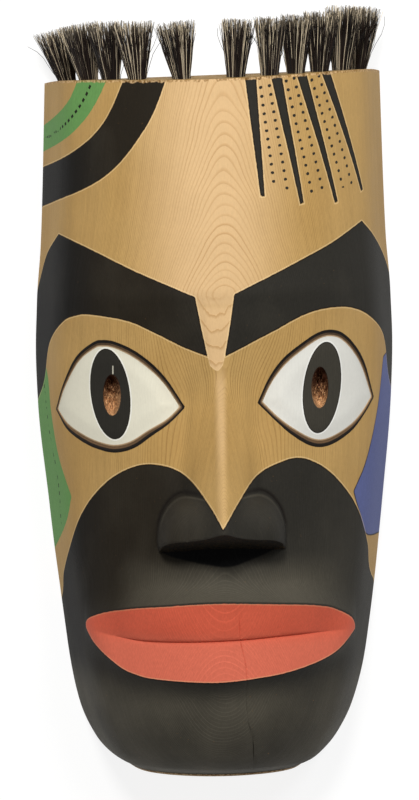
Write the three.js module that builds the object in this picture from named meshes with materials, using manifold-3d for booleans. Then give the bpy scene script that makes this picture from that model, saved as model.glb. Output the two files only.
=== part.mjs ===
// A cedar mask carved from one block, hollow behind, with eleven bristle tufts in drilled holes along its
// top end. It lies on its flat back rim with the face up.
// Millimetres. +Z comes out of the face, +Y points to the top of the head, +X to the viewer's right.
// The origin is the middle of the whole object's footprint, on the plane of the back rim.

import * as THREE from "three";
import { mergeVertices } from "three/addons/utils/BufferGeometryUtils.js";
import Module from "manifold-3d";

const wasm = await Module();
wasm.setup();

// Outline and profile of the block, from the top end down to the chin: the place along Y, half of the width
// at the back rim, and the height of the centre line above the rim.
const STATIONS = [
  { y: 186, halfWidth: 98, height: 98 },
  { y: 120, halfWidth: 100, height: 102 },
  { y: 90, halfWidth: 101.3, height: 105.5 },
  { y: 69, halfWidth: 103.1, height: 109 },
  { y: 62, halfWidth: 103.6, height: 110 },
  { y: 55, halfWidth: 103.9, height: 109 },
  { y: 30, halfWidth: 104.7, height: 105 },
  { y: 0, halfWidth: 103.8, height: 101 },
  { y: -60, halfWidth: 98.2, height: 100 },
  { y: -95, halfWidth: 94.5, height: 101.5 },
  { y: -130, halfWidth: 90.2, height: 104 },
  { y: -155, halfWidth: 86.6, height: 102.5 },
  { y: -180, halfWidth: 80.5, height: 95 },
  { y: -198, halfWidth: 72, height: 84 },
  { y: -208, halfWidth: 63.6, height: 72 },
  { y: -213.8, halfWidth: 53.5, height: 53 },
];
const TOP_Y = STATIONS[0].y;
const CHIN_Y = STATIONS[STATIONS.length - 1].y;
const CHIN_CAP = { drop: 2.4, scale: 0.86 };

// Cross-section: a bowed front that turns into nearly upright side planes.
const FRONT_SPREAD = 1.02;
const SIDE_DRAFT = 0.23;
const EDGE_BLEND = 5;

// The top end leans back towards the front edge. The features sway and tilt a little, and both sides of the
// lower face stand slightly to the viewer's right (SKEW: how far, at SKEW_AT from the centre line).
const TOP_LEAN = { drop: 5.6, fadeFrom: 110, power: 2.4 };
const SWAY = -0.0065;
const TILT = [[186, 0.04], [60, 0.032], [-80, 0.026], [-110, 0], [-140, -0.012], [-214, 0.01]];
const SKEW_AT = 100;
const SKEW = [[186, 0], [0, 0.3], [-60, 0.9], [-110, 1.1], [-150, 0.9], [-190, 0], [-214, 0]];

const OUTER = { rows: 44, columns: 36, crowding: 1.4 };

// Hollow behind the face.
const HOLLOW = { top: 158, chin: -192, sideWall: 15, frontWall: 20, floorCut: 10, rows: 20, columns: 20 };
const HOLLOW_END = { width: 5.5, height: 4.2, overshoot: 1.01 };

// Nose: height of its ridge and half of its width along Y.
const NOSE_RIDGE = [[64, 109.4], [40, 106.8], [18, 104.6], [4, 107.4], [-7, 112], [-39, 125.6], [-68.6, 138],
  [-92, 146]];
const NOSE_HALF_WIDTH = [[64, 6], [31, 9], [0, 13], [-25, 18], [-50, 23], [-92, 30]];
const NOSE = { top: 62, bottom: -92, tip: -68.6, tipHeight: 138, undercut: 0.29, ridgeRound: 0.16 };
const NOSE_GRID = { rows: 14, columns: 14, reach: 1.18, root: 10, sink: 2.5 };
const WING = { x: 19.5, y: -74, z: 94, radii: [16, 25, 27], segments: 20 };

// Lips: upper edge, parting and lower edge along X, and how far they stand out.
const LIP_TOP = [[-77, -126], [-68, -120.2], [-57, -116], [-40, -112.5], [0, -109.4], [40, -111], [60, -114.6],
  [71, -119.5], [77, -126]];
const LIP_PARTING = [[-77, -129], [-42, -132.2], [0, -130.4], [44, -127.4], [77, -127]];
const LIP_BOTTOM = [[-77, -130], [-73, -133], [-66, -141.4], [-57, -147.8], [-42, -152.6], [-10, -153.5],
  [27, -150], [44, -146.6], [58, -142.2], [69, -136], [77, -130]];
const LIPS = { stand: 8.5, cornerStand: 2.5, cornerPower: 2.4, partingStand: 0.8, root: 14, columns: 26 };
const LIP_SKIRT = { width: 15, midStand: 0.33, sink: 3 };

// Eyes: the almond of the viewer's right eye; the other mirrors it. The pupil is a blind slot.
const EYE_UPPER = [[21, 0], [38, 23.5], [50, 32.5], [63, 38], [76, 31], [85, 16], [90.5, -1]];
const EYE_LOWER = [[21, 0], [39, -16], [58, -25], [76, -18.5], [90.5, -1]];
const EYE = { recess: 1.8, steps: 9, cutFrom: 20, cutTo: 160 };
const PUPIL = { x: 58.3, y: 7, halfWidth: 5.1, halfHeight: 11.8, depth: 9, sides: 20 };

// Tufts: where each stands along the top end, where its tip leans to, and its length. `inset` is how far
// the holes are drilled behind the front of the arch.
const TUFTS = [
  { x: -84, lean: -7.5, length: 29 },
  { x: -71.5, lean: -5.5, length: 30.5 },
  { x: -59, lean: -3.5, length: 31 },
  { x: -44.5, lean: -2.5, length: 31 },
  { x: -20, lean: -4, length: 30.5 },
  { x: 10, lean: 1, length: 31 },
  { x: 29, lean: 0.5, length: 31 },
  { x: 44, lean: 0.5, length: 31.5 },
  { x: 58, lean: 1, length: 32.5 },
  { x: 71, lean: 1.5, length: 35 },
  { x: 82.5, lean: 3, length: 35 },
];
const TUFT = { inset: 9.5, shank: 4.8, hole: 10, gap: 0.3, collar: 1.6, sides: 10 };
const TUFT_HEAD = {
  widest: 10.5, shareOfGap: 0.485, shoulder: 0.72, shoulderScale: 0.9, end: 0.95, endScale: 0.8,
};

// How finely a curve is followed, and how near two points are one.
const SEARCH_STEPS = 40;
const WELD = 1e-4;

const CEDAR = new THREE.MeshStandardMaterial({ color: 0xd9b98a, roughness: 0.6, metalness: 0 });
const BRISTLE = new THREE.MeshStandardMaterial({ color: 0x2c221b, roughness: 0.7, metalness: 0 });

// A smooth curve through a table of [place, value] rows, in either order of place.
function smoothTable(rows) {
  const sorted = [...rows].sort((a, b) => a[0] - b[0]);
  const chord = (i) => (sorted[i + 1][1] - sorted[i][1]) / (sorted[i + 1][0] - sorted[i][0]);
  const last = sorted.length - 1;
  const slope = sorted.map((_, i) => {
    if (i === 0) return chord(0);
    if (i === last) return chord(last - 1);
    return chord(i - 1) * chord(i) <= 0 ? 0 : (2 * chord(i - 1) * chord(i)) / (chord(i - 1) + chord(i));
  });
  return (place) => {
    const p = THREE.MathUtils.clamp(place, sorted[0][0], sorted[last][0]);
    let i = 0;
    while (i < last - 1 && p > sorted[i + 1][0]) i += 1;
    const step = sorted[i + 1][0] - sorted[i][0];
    const t = (p - sorted[i][0]) / step;
    const [a, b] = [sorted[i][1], sorted[i + 1][1]];
    return a * (1 + 2 * t) * (1 - t) ** 2 + b * t * t * (3 - 2 * t)
      + step * (slope[i] * t * (1 - t) ** 2 - slope[i + 1] * t * t * (1 - t));
  };
}

const halfWidthAt = smoothTable(STATIONS.map((s) => [s.y, s.halfWidth]));
const heightAt = smoothTable(STATIONS.map((s) => [s.y, s.height]));
const tiltAt = smoothTable(TILT);
const skewAt = smoothTable(SKEW);
const noseRidgeAt = smoothTable(NOSE_RIDGE);
const noseHalfWidthAt = smoothTable(NOSE_HALF_WIDTH);
const lipTopAt = smoothTable(LIP_TOP);
const lipPartingAt = smoothTable(LIP_PARTING);
const lipBottomAt = smoothTable(LIP_BOTTOM);
const eyeUpperAt = smoothTable(EYE_UPPER);
const eyeLowerAt = smoothTable(EYE_LOWER);

// Distance from the back's centre line to the surface, at an angle from the face's outward direction.
function sectionRadius(angle, halfWidth, height) {
  const across = Math.abs(Math.sin(angle));
  const out = Math.cos(angle);
  const front = 1 / Math.hypot(across / (FRONT_SPREAD * halfWidth), out / height);
  const side = halfWidth / (across + SIDE_DRAFT * out);
  const nearness = Math.max(EDGE_BLEND - Math.abs(front - side), 0) / EDGE_BLEND;
  return Math.min(front, side) - (nearness * nearness * EDGE_BLEND) / 4;
}

// Height of a section above the rim at a given X.
function sectionHeight(x, halfWidth, height) {
  let low = 0;
  let high = Math.PI / 2;
  for (let i = 0; i < SEARCH_STEPS; i += 1) {
    const angle = (low + high) / 2;
    if (sectionRadius(angle, halfWidth, height) * Math.sin(angle) < Math.abs(x)) low = angle;
    else high = angle;
  }
  return sectionRadius(low, halfWidth, height) * Math.cos(low);
}

const baseHeight = (x, y) => sectionHeight(x, halfWidthAt(y), heightAt(y));

// Carries a point of the even, upright design to its place on the slightly uneven carving.
function place(x, y, z) {
  const fade = THREE.MathUtils.smoothstep(y, TOP_LEAN.fadeFrom, TOP_Y);
  const drop = TOP_LEAN.drop * fade * (Math.max(z, 0) / STATIONS[0].height) ** TOP_LEAN.power;
  return new THREE.Vector3(x + SWAY * y + skewAt(y) * (x / SKEW_AT) ** 2, y - drop + tiltAt(y) * x, z);
}

// A closed solid over rings of points, with each end closed by a fan about its middle.
function loft(rings) {
  const sides = rings[0].length;
  const points = rings.flat();
  const triangles = [];
  for (let row = 0; row < rings.length - 1; row += 1) {
    for (let i = 0; i < sides; i += 1) {
      const a = row * sides + i;
      const b = row * sides + ((i + 1) % sides);
      triangles.push([a, b, a + sides], [b, b + sides, a + sides]);
    }
  }
  for (const [row, flip] of [[0, true], [rings.length - 1, false]]) {
    const middle = new THREE.Vector3();
    rings[row].forEach((point) => middle.addScaledVector(point, 1 / sides));
    points.push(middle);
    for (let i = 0; i < sides; i += 1) {
      const a = row * sides + i;
      const b = row * sides + ((i + 1) % sides);
      triangles.push(flip ? [b, a, points.length - 1] : [a, b, points.length - 1]);
    }
  }
  const geometry = new THREE.BufferGeometry().setFromPoints(points);
  geometry.setIndex(triangles.flat());
  return toSolid(geometry);
}

// A solid from a closed geometry, turned outwards if its triangles face in.
function toSolid(geometry) {
  const bare = geometry.clone();
  bare.deleteAttribute("normal");
  bare.deleteAttribute("uv");
  const merged = mergeVertices(bare, WELD);
  const positions = merged.getAttribute("position");
  const index = Array.from(merged.getIndex().array);
  const [a, b, c] = [new THREE.Vector3(), new THREE.Vector3(), new THREE.Vector3()];
  let volume = 0;
  for (let i = 0; i < index.length; i += 3) {
    a.fromBufferAttribute(positions, index[i]);
    b.fromBufferAttribute(positions, index[i + 1]);
    c.fromBufferAttribute(positions, index[i + 2]);
    volume += a.dot(b.cross(c));
  }
  if (volume < 0) index.reverse();
  const vertProperties = new Float32Array(positions.array);
  return new wasm.Manifold(new wasm.Mesh({ numProp: 3, vertProperties, triVerts: new Uint32Array(index) }));
}

function toMesh(solid, name, material) {
  const { vertProperties, triVerts } = solid.getMesh();
  const geometry = new THREE.BufferGeometry();
  geometry.setAttribute("position", new THREE.BufferAttribute(vertProperties, 3));
  geometry.setIndex(new THREE.BufferAttribute(triVerts, 1));
  const mesh = new THREE.Mesh(geometry.toNonIndexed(), material);
  mesh.geometry.computeVertexNormals();
  mesh.name = name;
  return mesh;
}

const evenly = (count, from, to) =>
  Array.from({ length: count + 1 }, (_, i) => from + ((to - from) * i) / count);

// The half-round block with the face's outline and profile, lowered by `skin` all over for the eye beds.
function outerForm(skin) {
  const angles = evenly(OUTER.columns, -Math.PI / 2, Math.PI / 2);
  const ring = (y, scale) => angles.map((angle) => {
    const radius = scale * sectionRadius(angle, halfWidthAt(y) - skin, heightAt(y) - skin);
    return [radius * Math.sin(angle), radius * Math.cos(angle)];
  });
  const rows = evenly(OUTER.rows, 0, 1).map((t) => {
    const y = CHIN_Y + (TOP_Y - CHIN_Y) * t ** OUTER.crowding;
    return ring(y, 1).map(([x, z]) => place(x, y, z));
  });
  const cap = ring(CHIN_Y, CHIN_CAP.scale).map(([x, z]) => place(x, CHIN_Y - CHIN_CAP.drop, z));
  return loft([cap, ...rows]);
}

// The bowl cut into the back, open towards the wearer.
function hollowForm() {
  const middle = (HOLLOW.top + HOLLOW.chin) / 2;
  const half = (HOLLOW.top - HOLLOW.chin) / 2;
  const angles = evenly(HOLLOW.columns, -Math.PI / 2, Math.PI / 2);
  const turns = evenly(HOLLOW.rows, -Math.PI / 2, Math.PI / 2).slice(1, -1);
  return loft(turns.map((turn) => {
    const y = middle + half * Math.sin(turn);
    const along = Math.abs(y - middle) / (half * HOLLOW_END.overshoot);
    const closing = (power) => (1 - along ** power) ** (1 / power);
    const halfWidth = (halfWidthAt(y) - HOLLOW.sideWall) * closing(HOLLOW_END.width);
    const height = (heightAt(y) - HOLLOW.frontWall) * closing(HOLLOW_END.height);
    const arch = angles.map((angle) => {
      const radius = sectionRadius(angle, halfWidth, height);
      return place(radius * Math.sin(angle), y, radius * Math.cos(angle));
    });
    return [place(-halfWidth, y, -HOLLOW.floorCut), ...arch, place(halfWidth, y, -HOLLOW.floorCut)];
  }));
}

// Height of the nose at a point: a rounded ridge with straight flanks that run under the cheeks.
function noseHeight(x, y) {
  const halfWidth = noseHalfWidthAt(y);
  const ridge = noseRidgeAt(y);
  const fall = ridge - (baseHeight(halfWidth, y) - NOSE_GRID.sink);
  const rounding = NOSE.ridgeRound;
  const flank = (Math.hypot(x / halfWidth, rounding) - rounding) / (Math.hypot(1, rounding) - rounding);
  return ridge - fall * flank;
}

// Where the flat underside of the nose passes, at a height above the rim.
const noseUnderside = (z) => NOSE.tip - (NOSE.tipHeight - z) * NOSE.undercut;

// The nose: a wedge from the brow with two wings, cut back below its tip by one flat underside.
function noseForm() {
  const across = evenly(NOSE_GRID.columns, -NOSE_GRID.reach, NOSE_GRID.reach);
  let nose = loft(evenly(NOSE_GRID.rows, NOSE.top, NOSE.bottom).map((y) => {
    const columns = across.map((q) => q * noseHalfWidthAt(y));
    const upper = columns.map((x) => place(x, y, noseHeight(x, y)));
    const lower = columns.toReversed().map((x) => place(x, y, baseHeight(x, y) - NOSE_GRID.root));
    return [...upper, ...lower];
  }));
  for (const side of [-1, 1]) {
    const wing = new THREE.SphereGeometry(1, WING.segments, WING.segments / 2);
    wing.scale(...WING.radii);
    const centre = place(side * WING.x, WING.y, WING.z);
    wing.translate(centre.x, centre.y, centre.z);
    nose = nose.add(toSolid(wing));
  }
  const [low, high] = [WING.z - WING.radii[2], NOSE.tipHeight + WING.radii[2]];
  const reach = 2 * (WING.x + WING.radii[0]);
  const below = [-reach, reach].map((x) => [
    place(x, noseUnderside(high), high), place(x, noseUnderside(low), low),
    place(x, NOSE.bottom - reach, low), place(x, NOSE.bottom - reach, high),
  ]);
  return nose.subtract(loft(below));
}

// The lips: two planes that meet in a recessed parting, with a skirt that eases into the face.
function lipForm() {
  const end = LIP_TOP[LIP_TOP.length - 1][0];
  const turns = evenly(LIPS.columns, -Math.PI / 2, Math.PI / 2).slice(1, -1);
  return loft(turns.map((turn) => {
    const x = end * Math.sin(turn);
    const fullness = Math.cos(turn) ** (1 / LIPS.cornerPower);
    const stand = THREE.MathUtils.lerp(LIPS.cornerStand, LIPS.stand, fullness);
    const [top, parting, bottom] = [lipTopAt(x), lipPartingAt(x), lipBottomAt(x)];
    const at = (y, out) => place(x, y, baseHeight(x, y) + out);
    const { width, sink } = LIP_SKIRT;
    const mid = stand * LIP_SKIRT.midStand;
    return [
      at(top + width, -LIPS.root), at(top + width, -sink), at(top + width / 2, mid), at(top, stand),
      at(parting, LIPS.partingStand), at(bottom, stand), at(bottom - width / 2, mid),
      at(bottom - width, -sink), at(bottom - width, -LIPS.root),
    ];
  }));
}

// An upright prism over a closed outline on the face.
function prism(outline, from, to) {
  const level = (z) => outline.map(([x, y]) => place(x, y, z));
  return loft([level(from), level(to)]);
}

function eyeOutline(side) {
  const [start, end] = [EYE_UPPER[0][0], EYE_UPPER[EYE_UPPER.length - 1][0]];
  const stops = evenly(EYE.steps, 0, Math.PI).map((turn) => start + (end - start) * (1 - Math.cos(turn)) / 2);
  const upper = stops.slice(0, -1).map((x) => [side * x, eyeUpperAt(x)]);
  const lower = stops.slice(1).reverse().map((x) => [side * x, eyeLowerAt(x)]);
  return [...upper, ...lower];
}

function pupilSlot(side) {
  const outline = evenly(PUPIL.sides, 0, 2 * Math.PI).slice(0, -1).map((turn) =>
    [side * PUPIL.x + PUPIL.halfWidth * Math.cos(turn), PUPIL.y + PUPIL.halfHeight * Math.sin(turn)]);
  return prism(outline, baseHeight(PUPIL.x, PUPIL.y) - EYE.recess - PUPIL.depth, EYE.cutTo);
}

// Where a tuft stands on the top end, and the direction that it leans.
function tuftAxis(tuft) {
  const { y, halfWidth, height } = STATIONS[0];
  const z = sectionHeight(tuft.x, halfWidth - TUFT.inset, height - TUFT.inset);
  const foot = place(tuft.x, y, z);
  const direction = new THREE.Vector3(tuft.lean, tuft.length, 0).normalize();
  return { foot, direction };
}

// A round form about a tuft's axis, from [distance along the axis, radius] rows.
function alongTuft(tuft, profile) {
  const points = profile.map(([along, radius]) => new THREE.Vector2(radius, along));
  const lathe = new THREE.LatheGeometry(points, TUFT.sides);
  const { foot, direction } = tuftAxis(tuft);
  lathe.applyQuaternion(new THREE.Quaternion().setFromUnitVectors(new THREE.Vector3(0, 1, 0), direction));
  lathe.translate(foot.x, foot.y, foot.z);
  return toSolid(lathe);
}

const tuftHole = (tuft) => {
  const radius = TUFT.shank + TUFT.gap;
  return alongTuft(tuft, [[-TUFT.hole, 0], [-TUFT.hole, radius], [tuft.length, radius], [tuft.length, 0]]);
};

// Half of a tuft's width near its tips, which keeps clear of its neighbours.
function tuftSpread(tuft) {
  const tipOf = (t) => {
    const { foot, direction } = tuftAxis(t);
    return foot.addScaledVector(direction, Math.min(t.length, tuft.length));
  };
  const gaps = TUFTS.filter((other) => other !== tuft).map((other) => tipOf(other).distanceTo(tipOf(tuft)));
  return Math.min(TUFT_HEAD.widest, TUFT_HEAD.shareOfGap * Math.min(...gaps));
}

function tuftSolid(tuft) {
  const spread = tuftSpread(tuft);
  return alongTuft(tuft, [
    [TUFT.gap - TUFT.hole, 0],
    [TUFT.gap - TUFT.hole, TUFT.shank],
    [TUFT.collar, TUFT.shank],
    [tuft.length * TUFT_HEAD.shoulder, spread * TUFT_HEAD.shoulderScale],
    [tuft.length * TUFT_HEAD.end, spread],
    [tuft.length, spread * TUFT_HEAD.endScale],
    [tuft.length, 0],
  ]);
}

function carvedMask() {
  let mask = outerForm(0).add(noseForm()).add(lipForm());
  const eyeBed = outerForm(EYE.recess);
  for (const side of [-1, 1]) {
    mask = mask.subtract(prism(eyeOutline(side), EYE.cutFrom, EYE.cutTo).subtract(eyeBed));
    mask = mask.subtract(pupilSlot(side));
  }
  TUFTS.forEach((tuft) => { mask = mask.subtract(tuftHole(tuft)); });
  return mask.subtract(hollowForm());
}

const pieces = new THREE.Group();
pieces.add(toMesh(carvedMask(), "mask", CEDAR));
TUFTS.forEach((tuft, i) => {
  pieces.add(toMesh(tuftSolid(tuft), `tuft_${String(i + 1).padStart(2, "0")}`, BRISTLE));
});

// Centre the footprint on the origin.
const middle = new THREE.Box3().setFromObject(pieces).getCenter(new THREE.Vector3());
pieces.position.set(-middle.x, -middle.y, 0);

const mask = new THREE.Group();
mask.add(pieces);

export default mask;
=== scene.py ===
"""A cedar face mask carved from one block and painted, with eleven bristle tufts along its top end.

The carving is drawn in millimetres, as the carver would lay it out: x to the viewer's right, y to the top of
the head, z out of the face from the plane of the back rim. It is turned to metres and moved to the frame's
origin when its mesh is made.
"""

import math

import bmesh
import bpy
import numpy as np
from mathutils import Matrix, Vector
from mathutils.geometry import delaunay_2d_cdt
from mathutils.kdtree import KDTree


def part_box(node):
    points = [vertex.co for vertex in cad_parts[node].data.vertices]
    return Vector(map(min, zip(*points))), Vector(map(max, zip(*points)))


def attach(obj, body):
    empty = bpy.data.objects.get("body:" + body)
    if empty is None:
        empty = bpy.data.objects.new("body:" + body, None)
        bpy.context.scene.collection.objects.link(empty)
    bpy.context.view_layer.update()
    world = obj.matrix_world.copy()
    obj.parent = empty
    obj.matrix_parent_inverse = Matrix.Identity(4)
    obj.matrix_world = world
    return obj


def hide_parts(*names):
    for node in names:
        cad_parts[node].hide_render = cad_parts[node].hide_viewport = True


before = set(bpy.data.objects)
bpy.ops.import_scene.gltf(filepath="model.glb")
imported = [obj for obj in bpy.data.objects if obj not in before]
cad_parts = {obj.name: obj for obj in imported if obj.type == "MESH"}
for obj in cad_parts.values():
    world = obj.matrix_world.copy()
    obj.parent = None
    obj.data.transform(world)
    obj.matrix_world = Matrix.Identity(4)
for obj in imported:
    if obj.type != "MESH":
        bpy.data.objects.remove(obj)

bl_info = {
    "name": "Carved cedar mask",
    "version": (1, 0, 0),
    "blender": (4, 5, 0),
    "location": "View3D > Sidebar > Mask",
    "description": "Builds a painted cedar mask with bristle tufts and its stage",
    "category": "Object",
}

MM = 0.001

# Depths inside painted outlines are measured no further than this, and what has no surface lies this low.
REACH = 12
NOWHERE = -50

# Outline and profile of the block, from the top end to the chin: y, half of the width at the rim, height.
STATIONS = [
    (186, 98, 98), (120, 100, 102), (90, 101.3, 105.5), (69, 103.1, 109), (62, 103.6, 110), (55, 103.9, 109),
    (30, 104.7, 105), (0, 103.8, 101), (-60, 98.2, 100), (-95, 94.5, 101.5), (-130, 90.2, 104),
    (-155, 86.6, 102.5), (-180, 80.5, 95), (-198, 72, 84), (-208, 63.6, 72), (-213.8, 53.5, 53),
]
TOP_Y, _, TOP_HEIGHT = STATIONS[0]
CHIN_Y = STATIONS[-1][0]
CHIN_CAP = {"drop": 2.4, "scale": 0.86, "rings": 5}

# Section of the block: the front's arc against the rim's width, the side planes' lean, and the blend between.
FRONT_SPREAD = 1.02
SIDE_DRAFT = 0.23
EDGE_BLEND = 5

# Unevenness of the block: its top end leans back, and its rows sway sideways, tilt and bow along y.
TOP_LEAN = {"drop": 5.6, "fade_from": 110, "power": 2.4}
SWAY = -0.0065
TILT = [(186, 0.04), (60, 0.032), (-80, 0.026), (-110, 0), (-140, -0.012), (-214, 0.01)]
SKEW_AT = 100
SKEW = [(186, 0), (0, 0.3), (-60, 0.9), (-110, 1.1), (-150, 0.9), (-190, 0), (-214, 0)]

# Hollow behind the face.
HOLLOW = {"top": 158, "chin": -192, "side_wall": 15, "front_wall": 20, "width_power": 5.5,
          "height_power": 4.2, "rows": 150, "columns": 92}
GOUGE = {"length": 26, "width": 9, "bow": 0.55, "turn_radius": 70}

# Eye sockets: shallow dips beside the bridge of the nose.
SOCKET = {"depth": 3.2, "x": 20, "half_width": 12, "y": 0, "half_height": 46}

# Nose: ridge height, half width and half width of its flat top along y, then its flat underside and wings.
NOSE_RIDGE = [(64, 108.9), (40, 106.8), (18, 104.2), (4, 107.4), (-7, 112), (-39, 125.6), (-68.6, 138),
              (-92, 146)]
NOSE_HALF_WIDTH = [(64, 13), (40, 11.5), (18, 12), (0, 14.5), (-25, 19), (-50, 23.5), (-92, 30)]
NOSE_FLAT = [(64, 9.9), (40, 6.9), (27, 5), (15, 2.8), (0, 1.4), (-39, 0.7), (-92, 0.5)]
NOSE = {"top": 66, "tip": -68.6, "foot": -92, "reach": 45, "rim_reach": 36.2, "tip_height": 138,
        "undercut": 0.29, "rounding": 0.07, "sink": 2.5}
NOSE_BLEND = [(64, 0.6), (50, 2), (20, 6), (-20, 8), (-50, 5), (-92, 3)]
WING = {"x": 19.5, "y": -74, "z": 95, "half_width": 16, "inner_width": 34, "half_height": 24.5, "stand": 26,
        "fullness": 2.6, "slope": 0.5, "blend": 7, "arc": (math.radians(-8), math.radians(155)),
        "lines": (0.93, 0.98, 1.0, 1.06)}
WING_GROOVE = {"depth": 1.1, "width": 1.1, "foot": (-84, -78), "inner_end": (14, 19)}

# The face in front of the side planes, and the faint waves that the carver's tools left on it.
FRONT_HALF_WIDTH = 90
TOOL_WAVES = {"height": 0.16, "length": 34, "seed": 2, "fade": (6, 25)}

# Lips: outline and parting, and how far they stand out of the face.
LIP_TOP = [(-77, -126), (-76.2, -123.8), (-71.6, -120.3), (-65, -117.4), (-57.8, -115.4), (-40, -112.5),
           (0, -109.4), (40, -111), (60, -113.8), (69, -117.9), (73.8, -121), (76, -123.8), (77, -127)]
LIP_PARTING = [(-77, -127.4), (-71, -129.7), (-42, -133), (0, -131.3), (44, -128.6), (66, -128), (77, -127.8)]
LIP_BOTTOM = [(-77, -128.6), (-76, -131), (-71.7, -137.3), (-62.5, -144.9), (-53.4, -150), (-39.8, -152.8),
              (-10, -153.5), (27, -150), (44, -146.6), (59, -142), (66.9, -138), (73, -132.6), (77, -128.8)]
LIPS = {"half_width": 77, "stand": 8.5, "corner_stand": 2.5, "parting_stand": 0.8, "skirt": 15,
        "hollowing": 2.4, "corner_power": 2.4, "corner": (56, 76), "seam_depth": 1.3, "seam_width": 0.5,
        "seam_fade": (42, 62), "seam_half_width": 73, "edge": 0.7}

# Eyes: upper and lower lids of the viewer's right and left eye, then bevel, iris, pupil and its splinters.
EYE_RIGHT = (
    [(21.3, 0.6), (27.7, 13.9), (35.8, 24.4), (46.8, 32.7), (55.2, 37.4), (62.2, 38.6), (69.5, 36.3),
     (76.9, 28.9), (82.9, 18.3), (88.7, -0.4)],
    [(88.7, -0.4), (83, -8.6), (75.6, -16.7), (65.9, -22.7), (57.5, -25), (49.7, -23.3), (40, -17),
     (31, -9.2), (21.3, 0.6)],
)
EYE_LEFT = (
    [(-92.4, -2.1), (-88, 12.1), (-80.3, 27.5), (-70.7, 35.6), (-65.2, 36.8), (-58.5, 35.7), (-48.4, 30.9),
     (-38.5, 23.3), (-29.8, 13.7), (-20.5, -0.7)],
    [(-20.5, -0.7), (-28.7, -8.6), (-38.7, -15.2), (-48.7, -22), (-58.9, -24.6), (-68.4, -22.9),
     (-77.2, -19), (-86.2, -12.2), (-92.4, -2.1)],
)
EYE = {"lid": 1.2, "bevel": 1.9, "depth": 1.9, "bulge": 1.2}
IRISES = {"right": (57.5, 7.3), "left": (-61.5, 7.3)}
IRIS = {"half_width": 11, "half_height": 25.7, "lean": math.radians(6.5)}
PUPILS = {"right": (56.2, 7.4), "left": (-60.5, 6.7)}
PUPIL = {"half_width": 5.1, "half_height": 11.8, "wall": 0.5, "lip": 2.2, "depth": 8}
SPLINTERS = {"height": 1.3, "stretch": (1, 0.45), "length": 2.6, "seed": 5, "fade": (0.3, 1.5)}

# Painted areas that are not carved, as runs of points joined at corners.
BROW_RIGHT = (
    [(7.5, 61.4), (23.4, 68.7), (46.4, 79.5), (64.4, 88.4), (82, 99.5)],
    [(82, 99.5), (90, 91), (98.5, 79), (106, 62)],
    [(106, 62), (114, 20), (112, -14)],
    [(112, -14), (101.5, 8), (96.5, 33), (87.2, 45), (75.3, 51.1), (61.6, 51.8), (47.1, 48.7),
     (30.9, 40.9), (14.9, 33.1), (2.2, 27.1)],
    [(2.2, 27.1), (5.2, 45), (7.5, 61.4)],
)
BROW_LEFT = (
    [(-14.2, 60.5), (-46.1, 75.1), (-66.8, 85.9), (-90.1, 97.9)],
    [(-90.1, 97.9), (-97, 87), (-101.5, 72.4), (-106, 55)],
    [(-106, 55), (-114, 20), (-112, -14)],
    [(-112, -14), (-100.5, 10), (-96.1, 35.3), (-88.2, 47.8), (-80.4, 51.6), (-71.8, 52), (-51.7, 48.2),
     (-36.8, 41.4), (-21.1, 33.1), (-7.4, 27.4)],
    [(-7.4, 27.4), (-11.4, 46), (-14.2, 60.5)],
)
LOWER_FACE = (
    [(-0.6, -66), (7.5, -54.5), (18.7, -41), (30, -34.3), (44.3, -31.2), (58.8, -37.8), (70.7, -50.2),
     (78.8, -63.6), (85.5, -84), (90, -104), (112, -132)],
    [(112, -132), (112, -240), (-112, -240), (-112, -150)],
    [(-112, -150), (-93, -122), (-90, -100), (-86, -82), (-80, -64), (-71, -49.5), (-59, -38.5),
     (-44, -32.4), (-29, -34), (-17.3, -41.1), (-7, -54.6), (-0.6, -66)],
)
TEMPLE_BAND = (
    [(-27, 192), (-41, 158), (-66, 128), (-112, 110)],
    [(-112, 110), (-112, 134)],
    [(-112, 134), (-86, 142), (-65, 160), (-50, 192)],
    [(-50, 192), (-27, 192)],
)
TEMPLE_GREEN = (
    [(-59, 192), (-72, 167), (-88, 151), (-112, 142)],
    [(-112, 142), (-112, 158)],
    [(-112, 158), (-96, 163), (-84, 174), (-76, 192)],
    [(-76, 192), (-59, 192)],
)
TEMPLE_ROW = [(-67, 192), (-77.5, 171), (-91.5, 156.5), (-112, 149.5)]
CHEEK_GREEN = (
    [(-104, 40), (-97.6, 18), (-95.6, -4), (-91.5, -30), (-84.5, -52)],
    [(-84.5, -52), (-88, -68), (-96, -88)],
    [(-96, -88), (-108, -40), (-108, 10), (-104, 40)],
)
CHEEK_ROW = [(-103.2, 34), (-99.6, 10), (-97.2, -14), (-92.4, -44), (-91, -70)]
CHEEK_BLUE = (
    [(96, 22), (91.5, -8), (84, -36), (76, -53)],
    [(76, -53), (80, -66), (86, -80), (112, -84)],
    [(112, -84), (116, -20), (108, 26), (96, 22)],
)
FAN = {"x": 6, "y": 322, "first": math.radians(5), "last": math.radians(23.5), "bars": 4,
       "inner": 128, "outer": (208, 216, 222, 224), "root_width": 3.4, "tip_width": 1.2, "rows": 2,
       "clear_end": 6}

# The pale facet between the brows, at the root of the nose.
FACET = (
    [(7.5, 61.4), (5.2, 45), (2.2, 27.1), (1, 22)],
    [(1, 22), (-2, 19.2), (-6, 22)],
    [(-6, 22), (-7.4, 27.4), (-11.4, 46), (-14.2, 60.5)],
    [(-14.2, 60.5), (-12, 72), (5, 72), (7.5, 61.4)],
)

# The hollow under the nose, where a shadow is painted in black on the face below its rim.
UNDER_NOSE = (
    [(-38, -80), (-28, -84.5), (-16, -87.5), (-4, -90), (5, -90.5), (15, -87.5), (26, -83.5), (38, -78)],
    [(38, -78), (26, -70), (-26, -70), (-38, -80)],
)

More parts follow.
